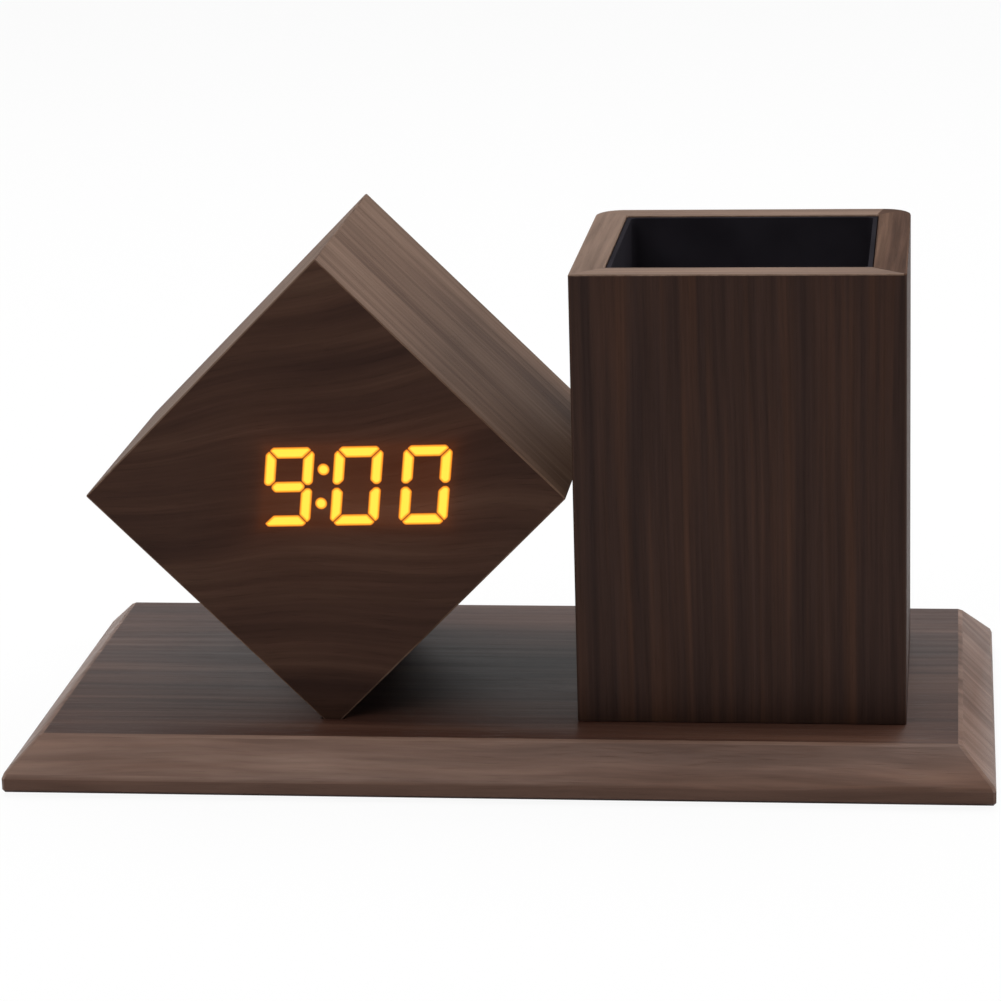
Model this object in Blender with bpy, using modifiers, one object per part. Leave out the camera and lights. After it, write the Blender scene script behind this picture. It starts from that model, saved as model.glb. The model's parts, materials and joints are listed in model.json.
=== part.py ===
"""Desk clock and pen cup on one board.

A cube-shaped LED clock stands on one edge, seated in a V groove of a chamfered board, beside a
square pen cup. All lengths are in metres, +Z is up, +X runs to the viewer's right and the front
faces -Y. The origin lies under the middle of the board, on the surface that the feet stand on.
"""
import math

import bmesh
import bpy
from mathutils import Matrix, Vector

# Gaps between neighbouring pieces
SEAT_GAP = 0.0003
GLUE_LINE = 0.00015
RUNNING_GAP = 0.00015
CUT_OVERRUN = 0.002
MERGE_DISTANCE = 0.000001

# Angles and shares
EIGHTH_TURN = math.radians(45)
QUARTER_TURN = math.radians(90)
HALF_SHARE = 0.5
ROUND_SIDES = 24
SMALL_ROUND_SIDES = 12
CORNER_STEPS = 5
EDGE_STEPS = 1
SMOOTH_ANGLE = math.radians(35)

# Base board
CLOCK_END_MARGIN = 0.0142
CLOCK_CUP_GAP = 0.0011
CUP_END_MARGIN = 0.0154
BASE_SIDE_MARGIN = 0.016
BASE_LIP = 0.003
BASE_CHAMFER = 0.006
BASE_CORNER_SOFTENING = 0.0005
FOOT_RADIUS = 0.0045
FOOT_HEIGHT = 0.0018
FOOT_POCKET = 0.0010
FOOT_INSET = 0.010

# Clock case
CLOCK_WALL = 0.0045
CLOCK_SINK = 0.0018
REAR_LEDGE = 0.0024

# Pen cup
CUP_WIDTH = 0.0575
CUP_HEIGHT = 0.080
CUP_WALL = 0.0058
CUP_REAR_RADIUS = 0.005
CUP_FRONT_SOFTENING = 0.0006
CUP_FLOOR = 0.006
LINER_WALL = 0.0008
LINER_DROP = 0.0003

# Wood screws from below
SCREW_SHANK_RADIUS = 0.0013
SCREW_HEAD_RADIUS = 0.0027
SCREW_HEAD_HEIGHT = 0.0016
SCREW_HEAD_DEPTH = 0.0004
CUP_SCREW_LENGTH = 0.0125
CUP_SCREW_SPACING = 0.026
SEAT_SCREW_LENGTH = 0.0175
SEAT_SCREW_FRONT_Y = -0.012
SEAT_SCREW_REAR_Y = 0.006
SEAT_BLOCK_LEG = 0.010
SEAT_BLOCK_FRONT_Y = -0.0165
SEAT_BLOCK_REAR_Y = 0.011

# Display, reading 9:00 with its first place dark
DIGIT_HEIGHT = 0.0140
DIGIT_WIDTH = 0.0082
DIGIT_PITCH = 0.0121
SEGMENT_WIDTH = 0.0017
SEGMENT_GAP = 0.00035
COLON_RADIUS = 0.00078
COLON_SPACING = 0.0061
DIGIT_SLANT = math.radians(6)
DISPLAY_TILT = math.radians(1.2)
DISPLAY_RISE = 0.0016
DISPLAY_SHIFT = -0.0003
DISPLAY_PLACES = 4
MODULE_MARGIN = 0.0014
FRONT_SKIN = 0.0007
GUIDE_THICKNESS = 0.0010
REFLECTOR_DEPTH = 0.0070
LAMP_SIZE = 0.0009
LAMP_HEIGHT = 0.0006
BOARD_THICKNESS = 0.0016
BOARD_CLEARANCE = 0.0006
SPACER_RADIUS = 0.0022
SPACER_BORE = 0.0012
SPACER_OFFSET = 0.0138
BOARD_SCREW_RADIUS = 0.0008
BOARD_SCREW_HEAD_RADIUS = 0.0016
BOARD_SCREW_HEAD = 0.0010
BOARD_SCREW_BITE = 0.0025

# Parts on the rear of the main board, placed along its own edges
CHIP_LENGTH = 0.0125
CHIP_WIDTH = 0.0075
CHIP_HEIGHT = 0.0020
CHIP_U = -0.008
CHIP_V = -0.008
CRYSTAL_RADIUS = 0.0010
CRYSTAL_LENGTH = 0.0060
CRYSTAL_U = -0.008
CRYSTAL_V = -0.0165
BUZZER_RADIUS = 0.0060
BUZZER_HEIGHT = 0.0055
BUZZER_PORT = 0.0010
BUZZER_U = 0.015
BUZZER_V = 0.002
COIN_RADIUS = 0.0062
COIN_HEIGHT = 0.0025
COIN_U = -0.013
COIN_V = 0.007
HOLDER_WALL = 0.0009
HOLDER_FLOOR = 0.0008
MIC_RADIUS = 0.0030
MIC_HEIGHT = 0.0027
MIC_U = 0.0155
MIC_V = -0.015
THERMISTOR_RADIUS = 0.0012
THERMISTOR_HEIGHT = 0.0030
THERMISTOR_U = 0.006
THERMISTOR_V = -0.0175

# Rear cover and battery bay
COVER_RECESS = 0.0005
COVER_PLATE = 0.0024
COVER_EDGE_SOFTENING = 0.0003
CELL_RADIUS = 0.0051
CELL_LENGTH = 0.0436
CELL_NUB_RADIUS = 0.0019
CELL_NUB_LENGTH = 0.0009
CELL_EDGE = 0.0005
CELL_COUNT = 3
CELL_END_ROOM = 0.00175
BAY_WALL = 0.0012
DOOR_GAP = 0.00035
DOOR_PANEL = 0.0016
DOOR_LAND = 0.0010
DOOR_PIN_RADIUS = 0.0006
DOOR_PIN_LENGTH = 0.0014
DOOR_PIN_GAP = 0.00015
DOOR_CATCH_WIDTH = 0.008
DOOR_CATCH_LENGTH = 0.0014
DOOR_CATCH_THICKNESS = 0.0009
DOOR_GRIP_RADIUS = 0.0022
DOOR_GRIP_DEPTH = 0.0007
COVER_TONGUE_WIDTH = 0.008
COVER_TONGUE_REACH = 0.0012
COVER_TONGUE_THICKNESS = 0.0010
COVER_TONGUE_OFFSET = 0.012
CONTACT_THICKNESS = 0.0004
CONTACT_WIDTH = 0.0070
CONTACT_HEIGHT = 0.0080
CONTACT_BUMP_RADIUS = 0.0018
CORNER_BLOCK = 0.0068
CORNER_BLOCK_LENGTH = 0.0090
COVER_SCREW_RADIUS = 0.0010
COVER_SCREW_HEAD_RADIUS = 0.0020
COVER_SCREW_HEAD = 0.0010
COVER_SCREW_LENGTH = 0.0080

# Keys
KEY_NAMES = ("set", "up", "down")
KEY_SPACING = 0.0082
KEY_FIRST_U = -0.0110
KEY_TRAVEL = 0.0005
KEY_CAP_RADIUS = 0.0022
KEY_CAP_PROUD = 0.0010
KEY_FLANGE_RADIUS = 0.0029
KEY_FLANGE = 0.0008
KEY_STEM_RADIUS = 0.0013
KEY_ROUNDING = 0.0003
SWITCH_SIZE = 0.0060
SWITCH_HEIGHT = 0.0035
SWITCH_WELL_RADIUS = 0.0019
SWITCH_WELL_DEPTH = 0.0014
PLUNGER_RADIUS = 0.00165
PLUNGER_PROUD = 0.0009
KEY_BOARD_WIDTH = 0.0112
KEY_BOARD_END_GAP = 0.00055
KEY_ROW_HEIGHT = 0.0165
KEY_STEM_LENGTH = 0.0012
JACK_SIZE = 0.0056
JACK_HOLE_RADIUS = 0.0018
JACK_HOLE_DEPTH = 0.0060
JACK_COLLAR_RADIUS = 0.0025
JACK_PIN_RADIUS = 0.0005
JACK_PIN_DROP = 0.0012
JACK_U = 0.0129
BOSS_RADIUS = 0.0012
BOSS_BORE = 0.0007
BOSS_END_INSET = 0.0020
BOSS_INSET = 0.00135
KEY_SCREW_HEAD_RADIUS = 0.0011
KEY_SCREW_HEAD = 0.0008
KEY_SCREW_BITE = 0.0040

# Wires
RIBBON_WIDTH = 0.0060
RIBBON_THICKNESS = 0.0009
LEAD_RADIUS = 0.0006
LEAD_U = 0.0205
WIRE_SAG = 0.0025
WIRE_STEPS = 12

# Heights and places worked out from the sizes above
FOOT_PROUD = FOOT_HEIGHT - FOOT_POCKET
BASE_TOP = FOOT_PROUD + BASE_LIP + BASE_CHAMFER
CELL_FULL = CELL_LENGTH + CELL_NUB_LENGTH
BAY_INNER_HALF_U = CELL_FULL * HALF_SHARE + CELL_END_ROOM
BAY_HALF_U = BAY_INNER_HALF_U + BAY_WALL
CELL_PITCH = CELL_RADIUS + CELL_RADIUS + SEAT_GAP
BAY_INNER_HEIGHT = CELL_PITCH * CELL_COUNT + SEAT_GAP
CAVITY_STACK = SEAT_GAP + BAY_WALL + BAY_INNER_HEIGHT + BAY_WALL + KEY_ROW_HEIGHT
CAVITY_HALF = max(BAY_HALF_U + SEAT_GAP, CAVITY_STACK * HALF_SHARE)
CLOCK_HALF = CAVITY_HALF + CLOCK_WALL
CLOCK_REACH = CLOCK_HALF / math.cos(EIGHTH_TURN)
CLOCK_Z = BASE_TOP - CLOCK_SINK + CLOCK_REACH
BASE_LENGTH = CLOCK_END_MARGIN + CLOCK_REACH + CLOCK_REACH + CLOCK_CUP_GAP + CUP_WIDTH + CUP_END_MARGIN
BASE_DEPTH = CLOCK_HALF + CLOCK_HALF + BASE_SIDE_MARGIN + BASE_SIDE_MARGIN
CLOCK_X = CLOCK_END_MARGIN + CLOCK_REACH - BASE_LENGTH * HALF_SHARE
CUP_X = CLOCK_X + CLOCK_REACH + CLOCK_CUP_GAP + CUP_WIDTH * HALF_SHARE
FRONT_Y = -CLOCK_HALF
REAR_Y = CLOCK_HALF
CUP_Y = FRONT_Y + CUP_WIDTH * HALF_SHARE
CUP_BOTTOM = BASE_TOP + GLUE_LINE
LINER_HALF = CUP_WIDTH * HALF_SHARE - CUP_WALL - GLUE_LINE
MODULE_HALF_LENGTH = DIGIT_PITCH * DISPLAY_PLACES * HALF_SHARE
MODULE_HALF_HEIGHT = DIGIT_HEIGHT * HALF_SHARE + MODULE_MARGIN
GUIDE_FRONT_Y = FRONT_Y + FRONT_SKIN + GLUE_LINE
GUIDE_REAR_Y = GUIDE_FRONT_Y + GUIDE_THICKNESS
REFLECTOR_FRONT_Y = GUIDE_REAR_Y + GLUE_LINE
REFLECTOR_REAR_Y = REFLECTOR_FRONT_Y + REFLECTOR_DEPTH
PANEL_REAR_Y = FRONT_Y + CLOCK_WALL
BOARD_FRONT_Y = REFLECTOR_REAR_Y + SEAT_GAP
BOARD_REAR_Y = BOARD_FRONT_Y + BOARD_THICKNESS
COVER_REAR_Y = REAR_Y - COVER_RECESS
COVER_FRONT_Y = COVER_REAR_Y - COVER_PLATE
LEDGE_Y = COVER_FRONT_Y - GLUE_LINE
COVER_HALF = CAVITY_HALF + REAR_LEDGE - SEAT_GAP
BAY_LOW_V = -CAVITY_HALF + SEAT_GAP
BAY_INNER_LOW_V = BAY_LOW_V + BAY_WALL
BAY_INNER_HIGH_V = BAY_INNER_LOW_V + BAY_INNER_HEIGHT
BAY_HIGH_V = BAY_INNER_HIGH_V + BAY_WALL
CELL_Y = COVER_REAR_Y - DOOR_PANEL - DOOR_GAP - CELL_RADIUS
BAY_INNER_FRONT_Y = CELL_Y - CELL_RADIUS - SEAT_GAP
BAY_FRONT_Y = BAY_INNER_FRONT_Y - BAY_WALL
DOOR_HINGE_RADIUS = COVER_PLATE * HALF_SHARE
DOOR_HINGE_Y = COVER_REAR_Y - DOOR_HINGE_RADIUS
DOOR_HINGE_V = BAY_INNER_HIGH_V - DOOR_GAP - DOOR_HINGE_RADIUS
DOOR_LOW_V = BAY_INNER_LOW_V - DOOR_LAND
DOOR_HALF_U = BAY_INNER_HALF_U - DOOR_GAP
KEY_V = (BAY_HIGH_V + CAVITY_HALF) * HALF_SHARE
PLUNGER_REST_TOP_Y = COVER_FRONT_Y - SEAT_GAP - KEY_FLANGE - KEY_STEM_LENGTH
SWITCH_REAR_Y = PLUNGER_REST_TOP_Y - PLUNGER_PROUD - SEAT_GAP
SWITCH_FRONT_Y = SWITCH_REAR_Y - SWITCH_HEIGHT
KEY_BOARD_REAR_Y = SWITCH_FRONT_Y - GLUE_LINE
KEY_BOARD_FRONT_Y = KEY_BOARD_REAR_Y - BOARD_THICKNESS
CORNER_CENTRE = CAVITY_HALF - GLUE_LINE - CORNER_BLOCK * HALF_SHARE
KEY_BOARD_HALF = CORNER_CENTRE - CORNER_BLOCK * HALF_SHARE - KEY_BOARD_END_GAP
BOSS_OFFSET = KEY_BOARD_HALF - BOSS_END_INSET

# Colours of the finishes: red, green, blue
WALNUT = (0.080, 0.045, 0.032)
WALNUT_PALE = (0.150, 0.095, 0.070)
RAW_BOARD = (0.42, 0.29, 0.18)
BLACK_PLASTIC = (0.020, 0.020, 0.022)
LINER_BLACK = (0.010, 0.010, 0.012)
WHITE_PLASTIC = (0.80, 0.80, 0.78)
AMBER = (1.0, 0.62, 0.06)
GREEN_LAMINATE = (0.03, 0.22, 0.09)
STEEL = (0.62, 0.62, 0.60)
RUBBER = (0.03, 0.03, 0.03)
CELL_BLUE = (0.05, 0.16, 0.34)
RED_WIRE = (0.60, 0.03, 0.02)
GREY_WIRE = (0.35, 0.36, 0.38)
SATIN = 0.45
MATT = 0.75
POLISHED = 0.25
METALLIC = 1.0


def clear_scene():
    """Remove every object that is already in the scene."""
    for item in list(bpy.data.objects):
        bpy.data.objects.remove(item, do_unlink=True)


def new_collection(name):
    """Return a new collection linked to the scene."""
    group = bpy.data.collections.new(name)
    bpy.context.scene.collection.children.link(group)
    return group


clear_scene()
PARTS = new_collection("desk_clock_with_pen_cup")
CUTTERS = new_collection("cutters")


def finish(name, colour, roughness, metallic=0.0):
    """Return a Principled material of one colour."""
    material = bpy.data.materials.new(name)
    material.use_nodes = True
    shader = material.node_tree.nodes["Principled BSDF"]
    shader.inputs["Base Color"].default_value = (*colour, 1)
    shader.inputs["Roughness"].default_value = roughness
    shader.inputs["Metallic"].default_value = metallic
    return material


FINISHES = {
    "walnut": finish("walnut_veneer", WALNUT, SATIN),
    "walnut_board": finish("walnut_board", WALNUT_PALE, SATIN),
    "raw_board": finish("raw_fibre_board", RAW_BOARD, MATT),
    "black": finish("black_plastic", BLACK_PLASTIC, SATIN),
    "liner": finish("cup_lining", LINER_BLACK, SATIN),
    "white": finish("white_plastic", WHITE_PLASTIC, SATIN),
    "lit": finish("lit_segments", AMBER, POLISHED),
    "laminate": finish("circuit_laminate", GREEN_LAMINATE, SATIN),
    "steel": finish("plated_steel", STEEL, POLISHED, METALLIC),
    "rubber": finish("rubber_foot", RUBBER, MATT),
    "cell": finish("cell_sleeve", CELL_BLUE, SATIN),
    "red_wire": finish("red_lead", RED_WIRE, SATIN),
    "grey_wire": finish("grey_ribbon", GREY_WIRE, SATIN),
}


def frame_at(name, place, turn):
    """Return an empty at a place, turned about the Y axis, that pieces are parented to."""
    empty = bpy.data.objects.new(name, None)
    empty.location = place
    empty.rotation_euler = (0, turn, 0)
    PARTS.objects.link(empty)
    return empty


# The clock's own frame: X runs up to the right along its edges, Z up to the left
CLOCK_FRAME = frame_at("clock_frame", (CLOCK_X, 0, CLOCK_Z), -EIGHTH_TURN)
# The display's frame: level but for the small tilt that the photograph shows
DISPLAY_PLACE = (CLOCK_X + DISPLAY_SHIFT, 0, CLOCK_Z + DISPLAY_RISE)
DISPLAY_FRAME = frame_at("display_frame", DISPLAY_PLACE, -DISPLAY_TILT)


def mesh_object(name, shape, group, parent=None, place=(0, 0, 0)):
    """Turn a bmesh into an object of a collection, under a parent, at a place."""
    bmesh.ops.recalc_face_normals(shape, faces=shape.faces)
    mesh = bpy.data.meshes.new(name)
    shape.to_mesh(mesh)
    shape.free()
    item = bpy.data.objects.new(name, mesh)
    item.parent = parent
    item.location = place
    group.objects.link(item)
    return item


def box_shape(size):
    """Return a bmesh box of the given size, centred on its own origin."""
    shape = bmesh.new()
    bmesh.ops.create_cube(shape, size=1, matrix=Matrix.Diagonal((*size, 1)))
    return shape


def rod_shape(radius, length, sides=ROUND_SIDES, tip_radius=None):
    """Return a bmesh cylinder or cone along Y; the tip radius is at the front."""
    tip = radius if tip_radius is None else tip_radius
    shape = bmesh.new()
    along_y = Matrix.Rotation(QUARTER_TURN, 4, "X")
    bmesh.ops.create_cone(shape, cap_ends=True, segments=sides, radius1=radius, radius2=tip,
                          depth=length, matrix=along_y)
    return shape


def dress(item, material, smooth=False):
    """Give a piece its finish, and smooth shading if it is round."""
    item.data.materials.clear()
    item.data.materials.append(FINISHES[material])
    if smooth:
        item.data.shade_smooth()
        item.data.set_sharp_from_angle(angle=SMOOTH_ANGLE)
    return item


def span_box(name, low, high, material, parent=None):
    """Return a box piece between two opposite corners."""
    size = [b - a for a, b in zip(low, high)]
    middle = [(a + b) * HALF_SHARE for a, b in zip(low, high)]
    item = mesh_object(name, box_shape(size), PARTS, parent, middle)
    return dress(item, material)


def rod(name, radius, front_y, rear_y, place, material, parent=None, sides=ROUND_SIDES, tip_radius=None):
    """Return a round piece along Y between two depths, at a place (across, up)."""
    middle = (place[0], (front_y + rear_y) * HALF_SHARE, place[1])
    shape = rod_shape(radius, rear_y - front_y, sides, tip_radius)
    item = mesh_object(name, shape, PARTS, parent, middle)
    return dress(item, material, smooth=True)


def as_cutter(item):
    """Mark an object as a tool that only cuts or joins."""
    item.hide_render = True
    item.display_type = "WIRE"
    return item


def box_cutter(low, high, parent=None):
    """Return a cutting box between two opposite corners."""
    size = [b - a for a, b in zip(low, high)]
    middle = [(a + b) * HALF_SHARE for a, b in zip(low, high)]
    return as_cutter(mesh_object("box_cutter", box_shape(size), CUTTERS, parent, middle))


def rod_cutter(radius, front_y, rear_y, place, parent=None, sides=ROUND_SIDES, tip_radius=None):
    """Return a cutting cylinder along Y between two depths, at a place (across, up)."""
    middle = (place[0], (front_y + rear_y) * HALF_SHARE, place[1])
    shape = rod_shape(radius, rear_y - front_y, sides, tip_radius)
    return as_cutter(mesh_object("rod_cutter", shape, CUTTERS, parent, middle))


def combine(item, tool, operation):
    """Apply an exact Boolean with a tool as a live modifier."""
    change = item.modifiers.new(operation.lower(), "BOOLEAN")
    change.operation = operation
    change.solver = "EXACT"
    change.object = tool
    return item


def cut(item, *tools):
    """Cut every tool out of a piece."""
    for tool in tools:
        combine(item, tool, "DIFFERENCE")
    return item


def join(item, *tools):
    """Join every tool to a piece."""
    for tool in tools:
        combine(item, tool, "UNION")
    return item


def soften(item, width, steps=EDGE_STEPS):
    """Round a piece's edges that are sharper than a right angle's half."""
    bevel = item.modifiers.new("softened_edges", "BEVEL")
    bevel.width = width
    bevel.segments = steps
    bevel.limit_method = "ANGLE"
    return item


def outline_shape(points, low, high, upright=False):
    """Return a prism whose outline is a ring of points: along Y, or along Z if upright."""
    shape = bmesh.new()
    if upright:
        ring = [shape.verts.new((across, deep, low)) for across, deep in points]
        rise = Vector((0, 0, high - low))
    else:
        ring = [shape.verts.new((across, low, up)) for across, up in points]
        rise = Vector((0, high - low, 0))
    face = shape.faces.new(ring)
    grown = bmesh.ops.extrude_face_region(shape, geom=[face])
    moved = [part for part in grown["geom"] if isinstance(part, bmesh.types.BMVert)]
    bmesh.ops.translate(shape, verts=moved, vec=rise)
    return shape


def frustum_shape(rear_half, front_half, front_y, rear_y):
    """Return a square frustum along Y, for a mitred edge all round."""
    shape = box_shape((1, 1, 1))
    for vert in shape.verts:
        at_front = vert.co.y < 0
        half = front_half if at_front else rear_half
        vert.co.x = math.copysign(half, vert.co.x)
        vert.co.z = math.copysign(half, vert.co.z)
        vert.co.y = front_y if at_front else rear_y
    return shape


def rounded_square(half, rear_radius, front_radius):
    """Return the points of a square outline with its own radii at rear and front corners."""
    points = []
    corners = (
        (half, half, rear_radius, 0),
        (-half, half, rear_radius, 1),
        (-half, -half, front_radius, 2),
        (half, -half, front_radius, 3),
    )
    for across, deep, radius, quarter in corners:
        centre_x = across - math.copysign(radius, across)
        centre_y = deep - math.copysign(radius, deep)
        steps = CORNER_STEPS if radius > front_radius else EDGE_STEPS
        for step in range(steps + 1):
            angle = (quarter + step / steps) * QUARTER_TURN
            points.append((centre_x + radius * math.cos(angle), centre_y + radius * math.sin(angle)))
    return points


def upright_rod_shape(radius, length, sides=ROUND_SIDES, top_radius=None):
    """Return a bmesh cylinder or cone along Z, centred on its own origin."""
    top = radius if top_radius is None else top_radius
    shape = bmesh.new()
    bmesh.ops.create_cone(shape, cap_ends=True, segments=sides, radius1=radius, radius2=top, depth=length)
    return shape


def upright_cutter(radius, low_z, high_z, place):
    """Return a cutting cylinder along Z between two heights, at a place (across, deep)."""
    middle = (place[0], place[1], (low_z + high_z) * HALF_SHARE)
    shape = upright_rod_shape(radius, high_z - low_z, SMALL_ROUND_SIDES)
    return as_cutter(mesh_object("upright_cutter", shape, CUTTERS, None, middle))


def across_rod_tool(radius, low_x, high_x, deep, up, parent):
    """Return a cylinder along X between two places, as a cutting or joining tool."""
    shape = bmesh.new()
    along_x = Matrix.Rotation(QUARTER_TURN, 4, "Y")
    bmesh.ops.create_cone(shape, cap_ends=True, segments=SMALL_ROUND_SIDES, radius1=radius, radius2=radius,
                          depth=high_x - low_x, matrix=along_x)
    middle = ((low_x + high_x) * HALF_SHARE, deep, up)
    return as_cutter(mesh_object("across_rod_tool", shape, CUTTERS, parent, middle))


def screw_profile(length, shank_radius, head_radius, head_height):
    """Return the half outline of a countersunk screw, from its drive to its tip, head first."""
    drive = shank_radius * HALF_SHARE
    return [(0, drive), (drive, drive), (drive, 0), (head_radius, 0), (shank_radius, head_height),
            (shank_radius, length - shank_radius), (0, length)]


def turned(name, profile, material, parent, place, turn=(0, 0, 0)):
    """Return a piece turned from a half outline of (radius, height) about its own Z axis."""
    shape = bmesh.new()
    verts = [shape.verts.new((radius, 0, height)) for radius, height in profile]
    edges = [shape.edges.new(pair) for pair in zip(verts, verts[1:])]
    bmesh.ops.spin(shape, geom=verts + edges, cent=(0, 0, 0), axis=(0, 0, 1), angle=math.tau,
                   steps=SMALL_ROUND_SIDES, use_merge=True)
    bmesh.ops.remove_doubles(shape, verts=shape.verts, dist=MERGE_DISTANCE)
    item = mesh_object(name, shape, PARTS, parent, place)
    item.rotation_euler = turn
    return dress(item, material, smooth=True)


def wood_screw(name, place, length):
    """Return a countersunk wood screw that stands up from the underside of the board."""
    profile = screw_profile(length, SCREW_SHANK_RADIUS, SCREW_HEAD_RADIUS, SCREW_HEAD_HEIGHT)
    return turned(name, profile, "steel", None, place)


def wood_screw_hole(place, length):
    """Return the two cutters of a wood screw's hole: its shank and its head, open below."""
    across, deep, low = place
    shank = upright_cutter(SCREW_SHANK_RADIUS + SEAT_GAP, low, low + length + SEAT_GAP, (across, deep))
    head = upright_cutter(SCREW_HEAD_RADIUS + SEAT_GAP, -CUT_OVERRUN, low + SCREW_HEAD_HEIGHT, (across,
                                                                                                deep))
    return [shank, head]


def inward_screw(name, head_y, place, length, radius, head_radius, head_height, towards_front=True):
    """Return a screw along Y with its head at the given depth, in the clock's frame."""
    turn = (QUARTER_TURN if towards_front else -QUARTER_TURN, 0, 0)
    profile = screw_profile(length, radius, head_radius, head_height)
    return turned(name, profile, "steel", CLOCK_FRAME, (place[0], head_y, place[1]), turn)


def build_base():
    """Model the chamfered board, its feet and the screws that rise from it."""
    size = (BASE_LENGTH, BASE_DEPTH, BASE_LIP + BASE_CHAMFER)
    shape = box_shape(size)
    top = [edge for edge in shape.edges if all(vert.co.z > 0 for vert in edge.verts)]
    bmesh.ops.bevel(shape, geom=top, offset=BASE_CHAMFER, offset_type="OFFSET", segments=1,
                    profile=HALF_SHARE,
                    affect="EDGES", material=-1)
    middle = (0, 0, FOOT_PROUD + size[2] * HALF_SHARE)
    board = mesh_object("base_board", shape, PARTS, None, middle)
    dress(board, "walnut_board")
    soften(board, BASE_CORNER_SOFTENING)

    reach = CLOCK_HALF + SEAT_GAP
    groove = box_cutter((-reach, FRONT_Y - SEAT_GAP, -reach), (reach, REAR_Y + SEAT_GAP, reach),
                        CLOCK_FRAME)
    cut(board, groove)

    foot_x = BASE_LENGTH * HALF_SHARE - FOOT_INSET
    foot_y = BASE_DEPTH * HALF_SHARE - FOOT_INSET
    for side, across in (("left", -foot_x), ("right", foot_x)):
        for end, deep in (("front", -foot_y), ("rear", foot_y)):
            shape = upright_rod_shape(FOOT_RADIUS, FOOT_HEIGHT)
            foot = mesh_object(f"foot_{end}_{side}", shape, PARTS, None, (across, deep,
                                                                          FOOT_HEIGHT * HALF_SHARE))
            dress(foot, "rubber", smooth=True)
            pocket = upright_cutter(FOOT_RADIUS + SEAT_GAP, -CUT_OVERRUN, FOOT_HEIGHT + SEAT_GAP, (across,
                                                                                                   deep))
            cut(board, pocket)
    return board


def build_cup(board):
    """Model the folded cup, its floor, its lining and the two screws that hold it."""
    half = CUP_WIDTH * HALF_SHARE
    top = CUP_BOTTOM + CUP_HEIGHT
    points = rounded_square(half, CUP_REAR_RADIUS, CUP_FRONT_SOFTENING)
    shape = outline_shape(points, CUP_BOTTOM, top, upright=True)
    case = mesh_object("cup_case", shape, PARTS, None, (CUP_X, CUP_Y, 0))
    dress(case, "walnut", smooth=True)
    inner = half - CUP_WALL
    hollow = box_cutter((CUP_X - inner, CUP_Y - inner, CUP_BOTTOM - CUT_OVERRUN),
                        (CUP_X + inner, CUP_Y + inner, top + CUT_OVERRUN))
    cut(case, hollow)

    fit = inner - GLUE_LINE
    floor_top = CUP_BOTTOM + CUP_FLOOR
    floor = span_box("cup_floor", (CUP_X - fit, CUP_Y - fit, CUP_BOTTOM), (CUP_X + fit, CUP_Y + fit,
                                                                           floor_top),
                     "raw_board")

    liner_low = floor_top + SEAT_GAP
    liner = span_box("cup_liner", (CUP_X - LINER_HALF, CUP_Y - LINER_HALF, liner_low),
                     (CUP_X + LINER_HALF, CUP_Y + LINER_HALF, top - LINER_DROP), "liner")
    well = LINER_HALF - LINER_WALL
    cut(liner, box_cutter((CUP_X - well, CUP_Y - well, liner_low + LINER_WALL),
                          (CUP_X + well, CUP_Y + well, top + CUT_OVERRUN)))

    for side, offset in (("left", -CUP_SCREW_SPACING * HALF_SHARE), ("right",
                                                                     CUP_SCREW_SPACING * HALF_SHARE)):
        place = (CUP_X + offset, CUP_Y, FOOT_PROUD + SCREW_HEAD_DEPTH)
        wood_screw(f"cup_screw_{side}", place, CUP_SCREW_LENGTH)
        hole = wood_screw_hole(place, CUP_SCREW_LENGTH)
        cut(board, *hole)
        cut(floor, hole[0])


def build_clock_case(board):
    """Model the clock's folded case, the block in its lowest corner and the screws into it."""
    case = span_box("clock_case", (-CLOCK_HALF, FRONT_Y, -CLOCK_HALF), (CLOCK_HALF, REAR_Y, CLOCK_HALF),
                    "walnut", CLOCK_FRAME)
    mitre_reach = CLOCK_WALL + CUT_OVERRUN
    shape = frustum_shape(CAVITY_HALF - CUT_OVERRUN, CLOCK_HALF + CUT_OVERRUN, FRONT_Y - CUT_OVERRUN,
                          FRONT_Y + mitre_reach)
    mitre = as_cutter(mesh_object("mitre_cutter", shape, CUTTERS, CLOCK_FRAME))
    cavity = box_cutter((-CAVITY_HALF, FRONT_Y + CLOCK_WALL * HALF_SHARE, -CAVITY_HALF),
                        (CAVITY_HALF, REAR_Y + CUT_OVERRUN, CAVITY_HALF), CLOCK_FRAME)
    rebate_half = COVER_HALF + SEAT_GAP
    rebate = box_cutter((-rebate_half, LEDGE_Y, -rebate_half), (rebate_half, REAR_Y + CUT_OVERRUN,
                                                                rebate_half),
                        CLOCK_FRAME)
    cut(case, mitre, cavity, rebate)
    for offset in (-COVER_TONGUE_OFFSET, COVER_TONGUE_OFFSET):
        low, high = cover_tongue(offset, SEAT_GAP)
        cut(case, box_cutter(low, high, CLOCK_FRAME))

    corner = -CAVITY_HALF + GLUE_LINE
    leg_end = corner + SEAT_BLOCK_LEG
    points = [(corner, corner), (leg_end, corner), (corner, leg_end)]
    shape = outline_shape(points, SEAT_BLOCK_FRONT_Y, SEAT_BLOCK_REAR_Y)
    block = dress(mesh_object("seat_block", shape, PARTS, CLOCK_FRAME), "raw_board")

    for end, deep in (("front", SEAT_SCREW_FRONT_Y), ("rear", SEAT_SCREW_REAR_Y)):
        place = (CLOCK_X, deep, FOOT_PROUD + SCREW_HEAD_DEPTH)
        wood_screw(f"seat_screw_{end}", place, SEAT_SCREW_LENGTH)
        hole = wood_screw_hole(place, SEAT_SCREW_LENGTH)
        cut(board, *hole)
        cut(case, hole[0])
        cut(block, hole[0])
    return case


def digit_places():
    """Yield each display place's middle along the display."""
    for place in range(DISPLAY_PLACES):
        yield (place - (DISPLAY_PLACES - 1) * HALF_SHARE) * DIGIT_PITCH


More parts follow.
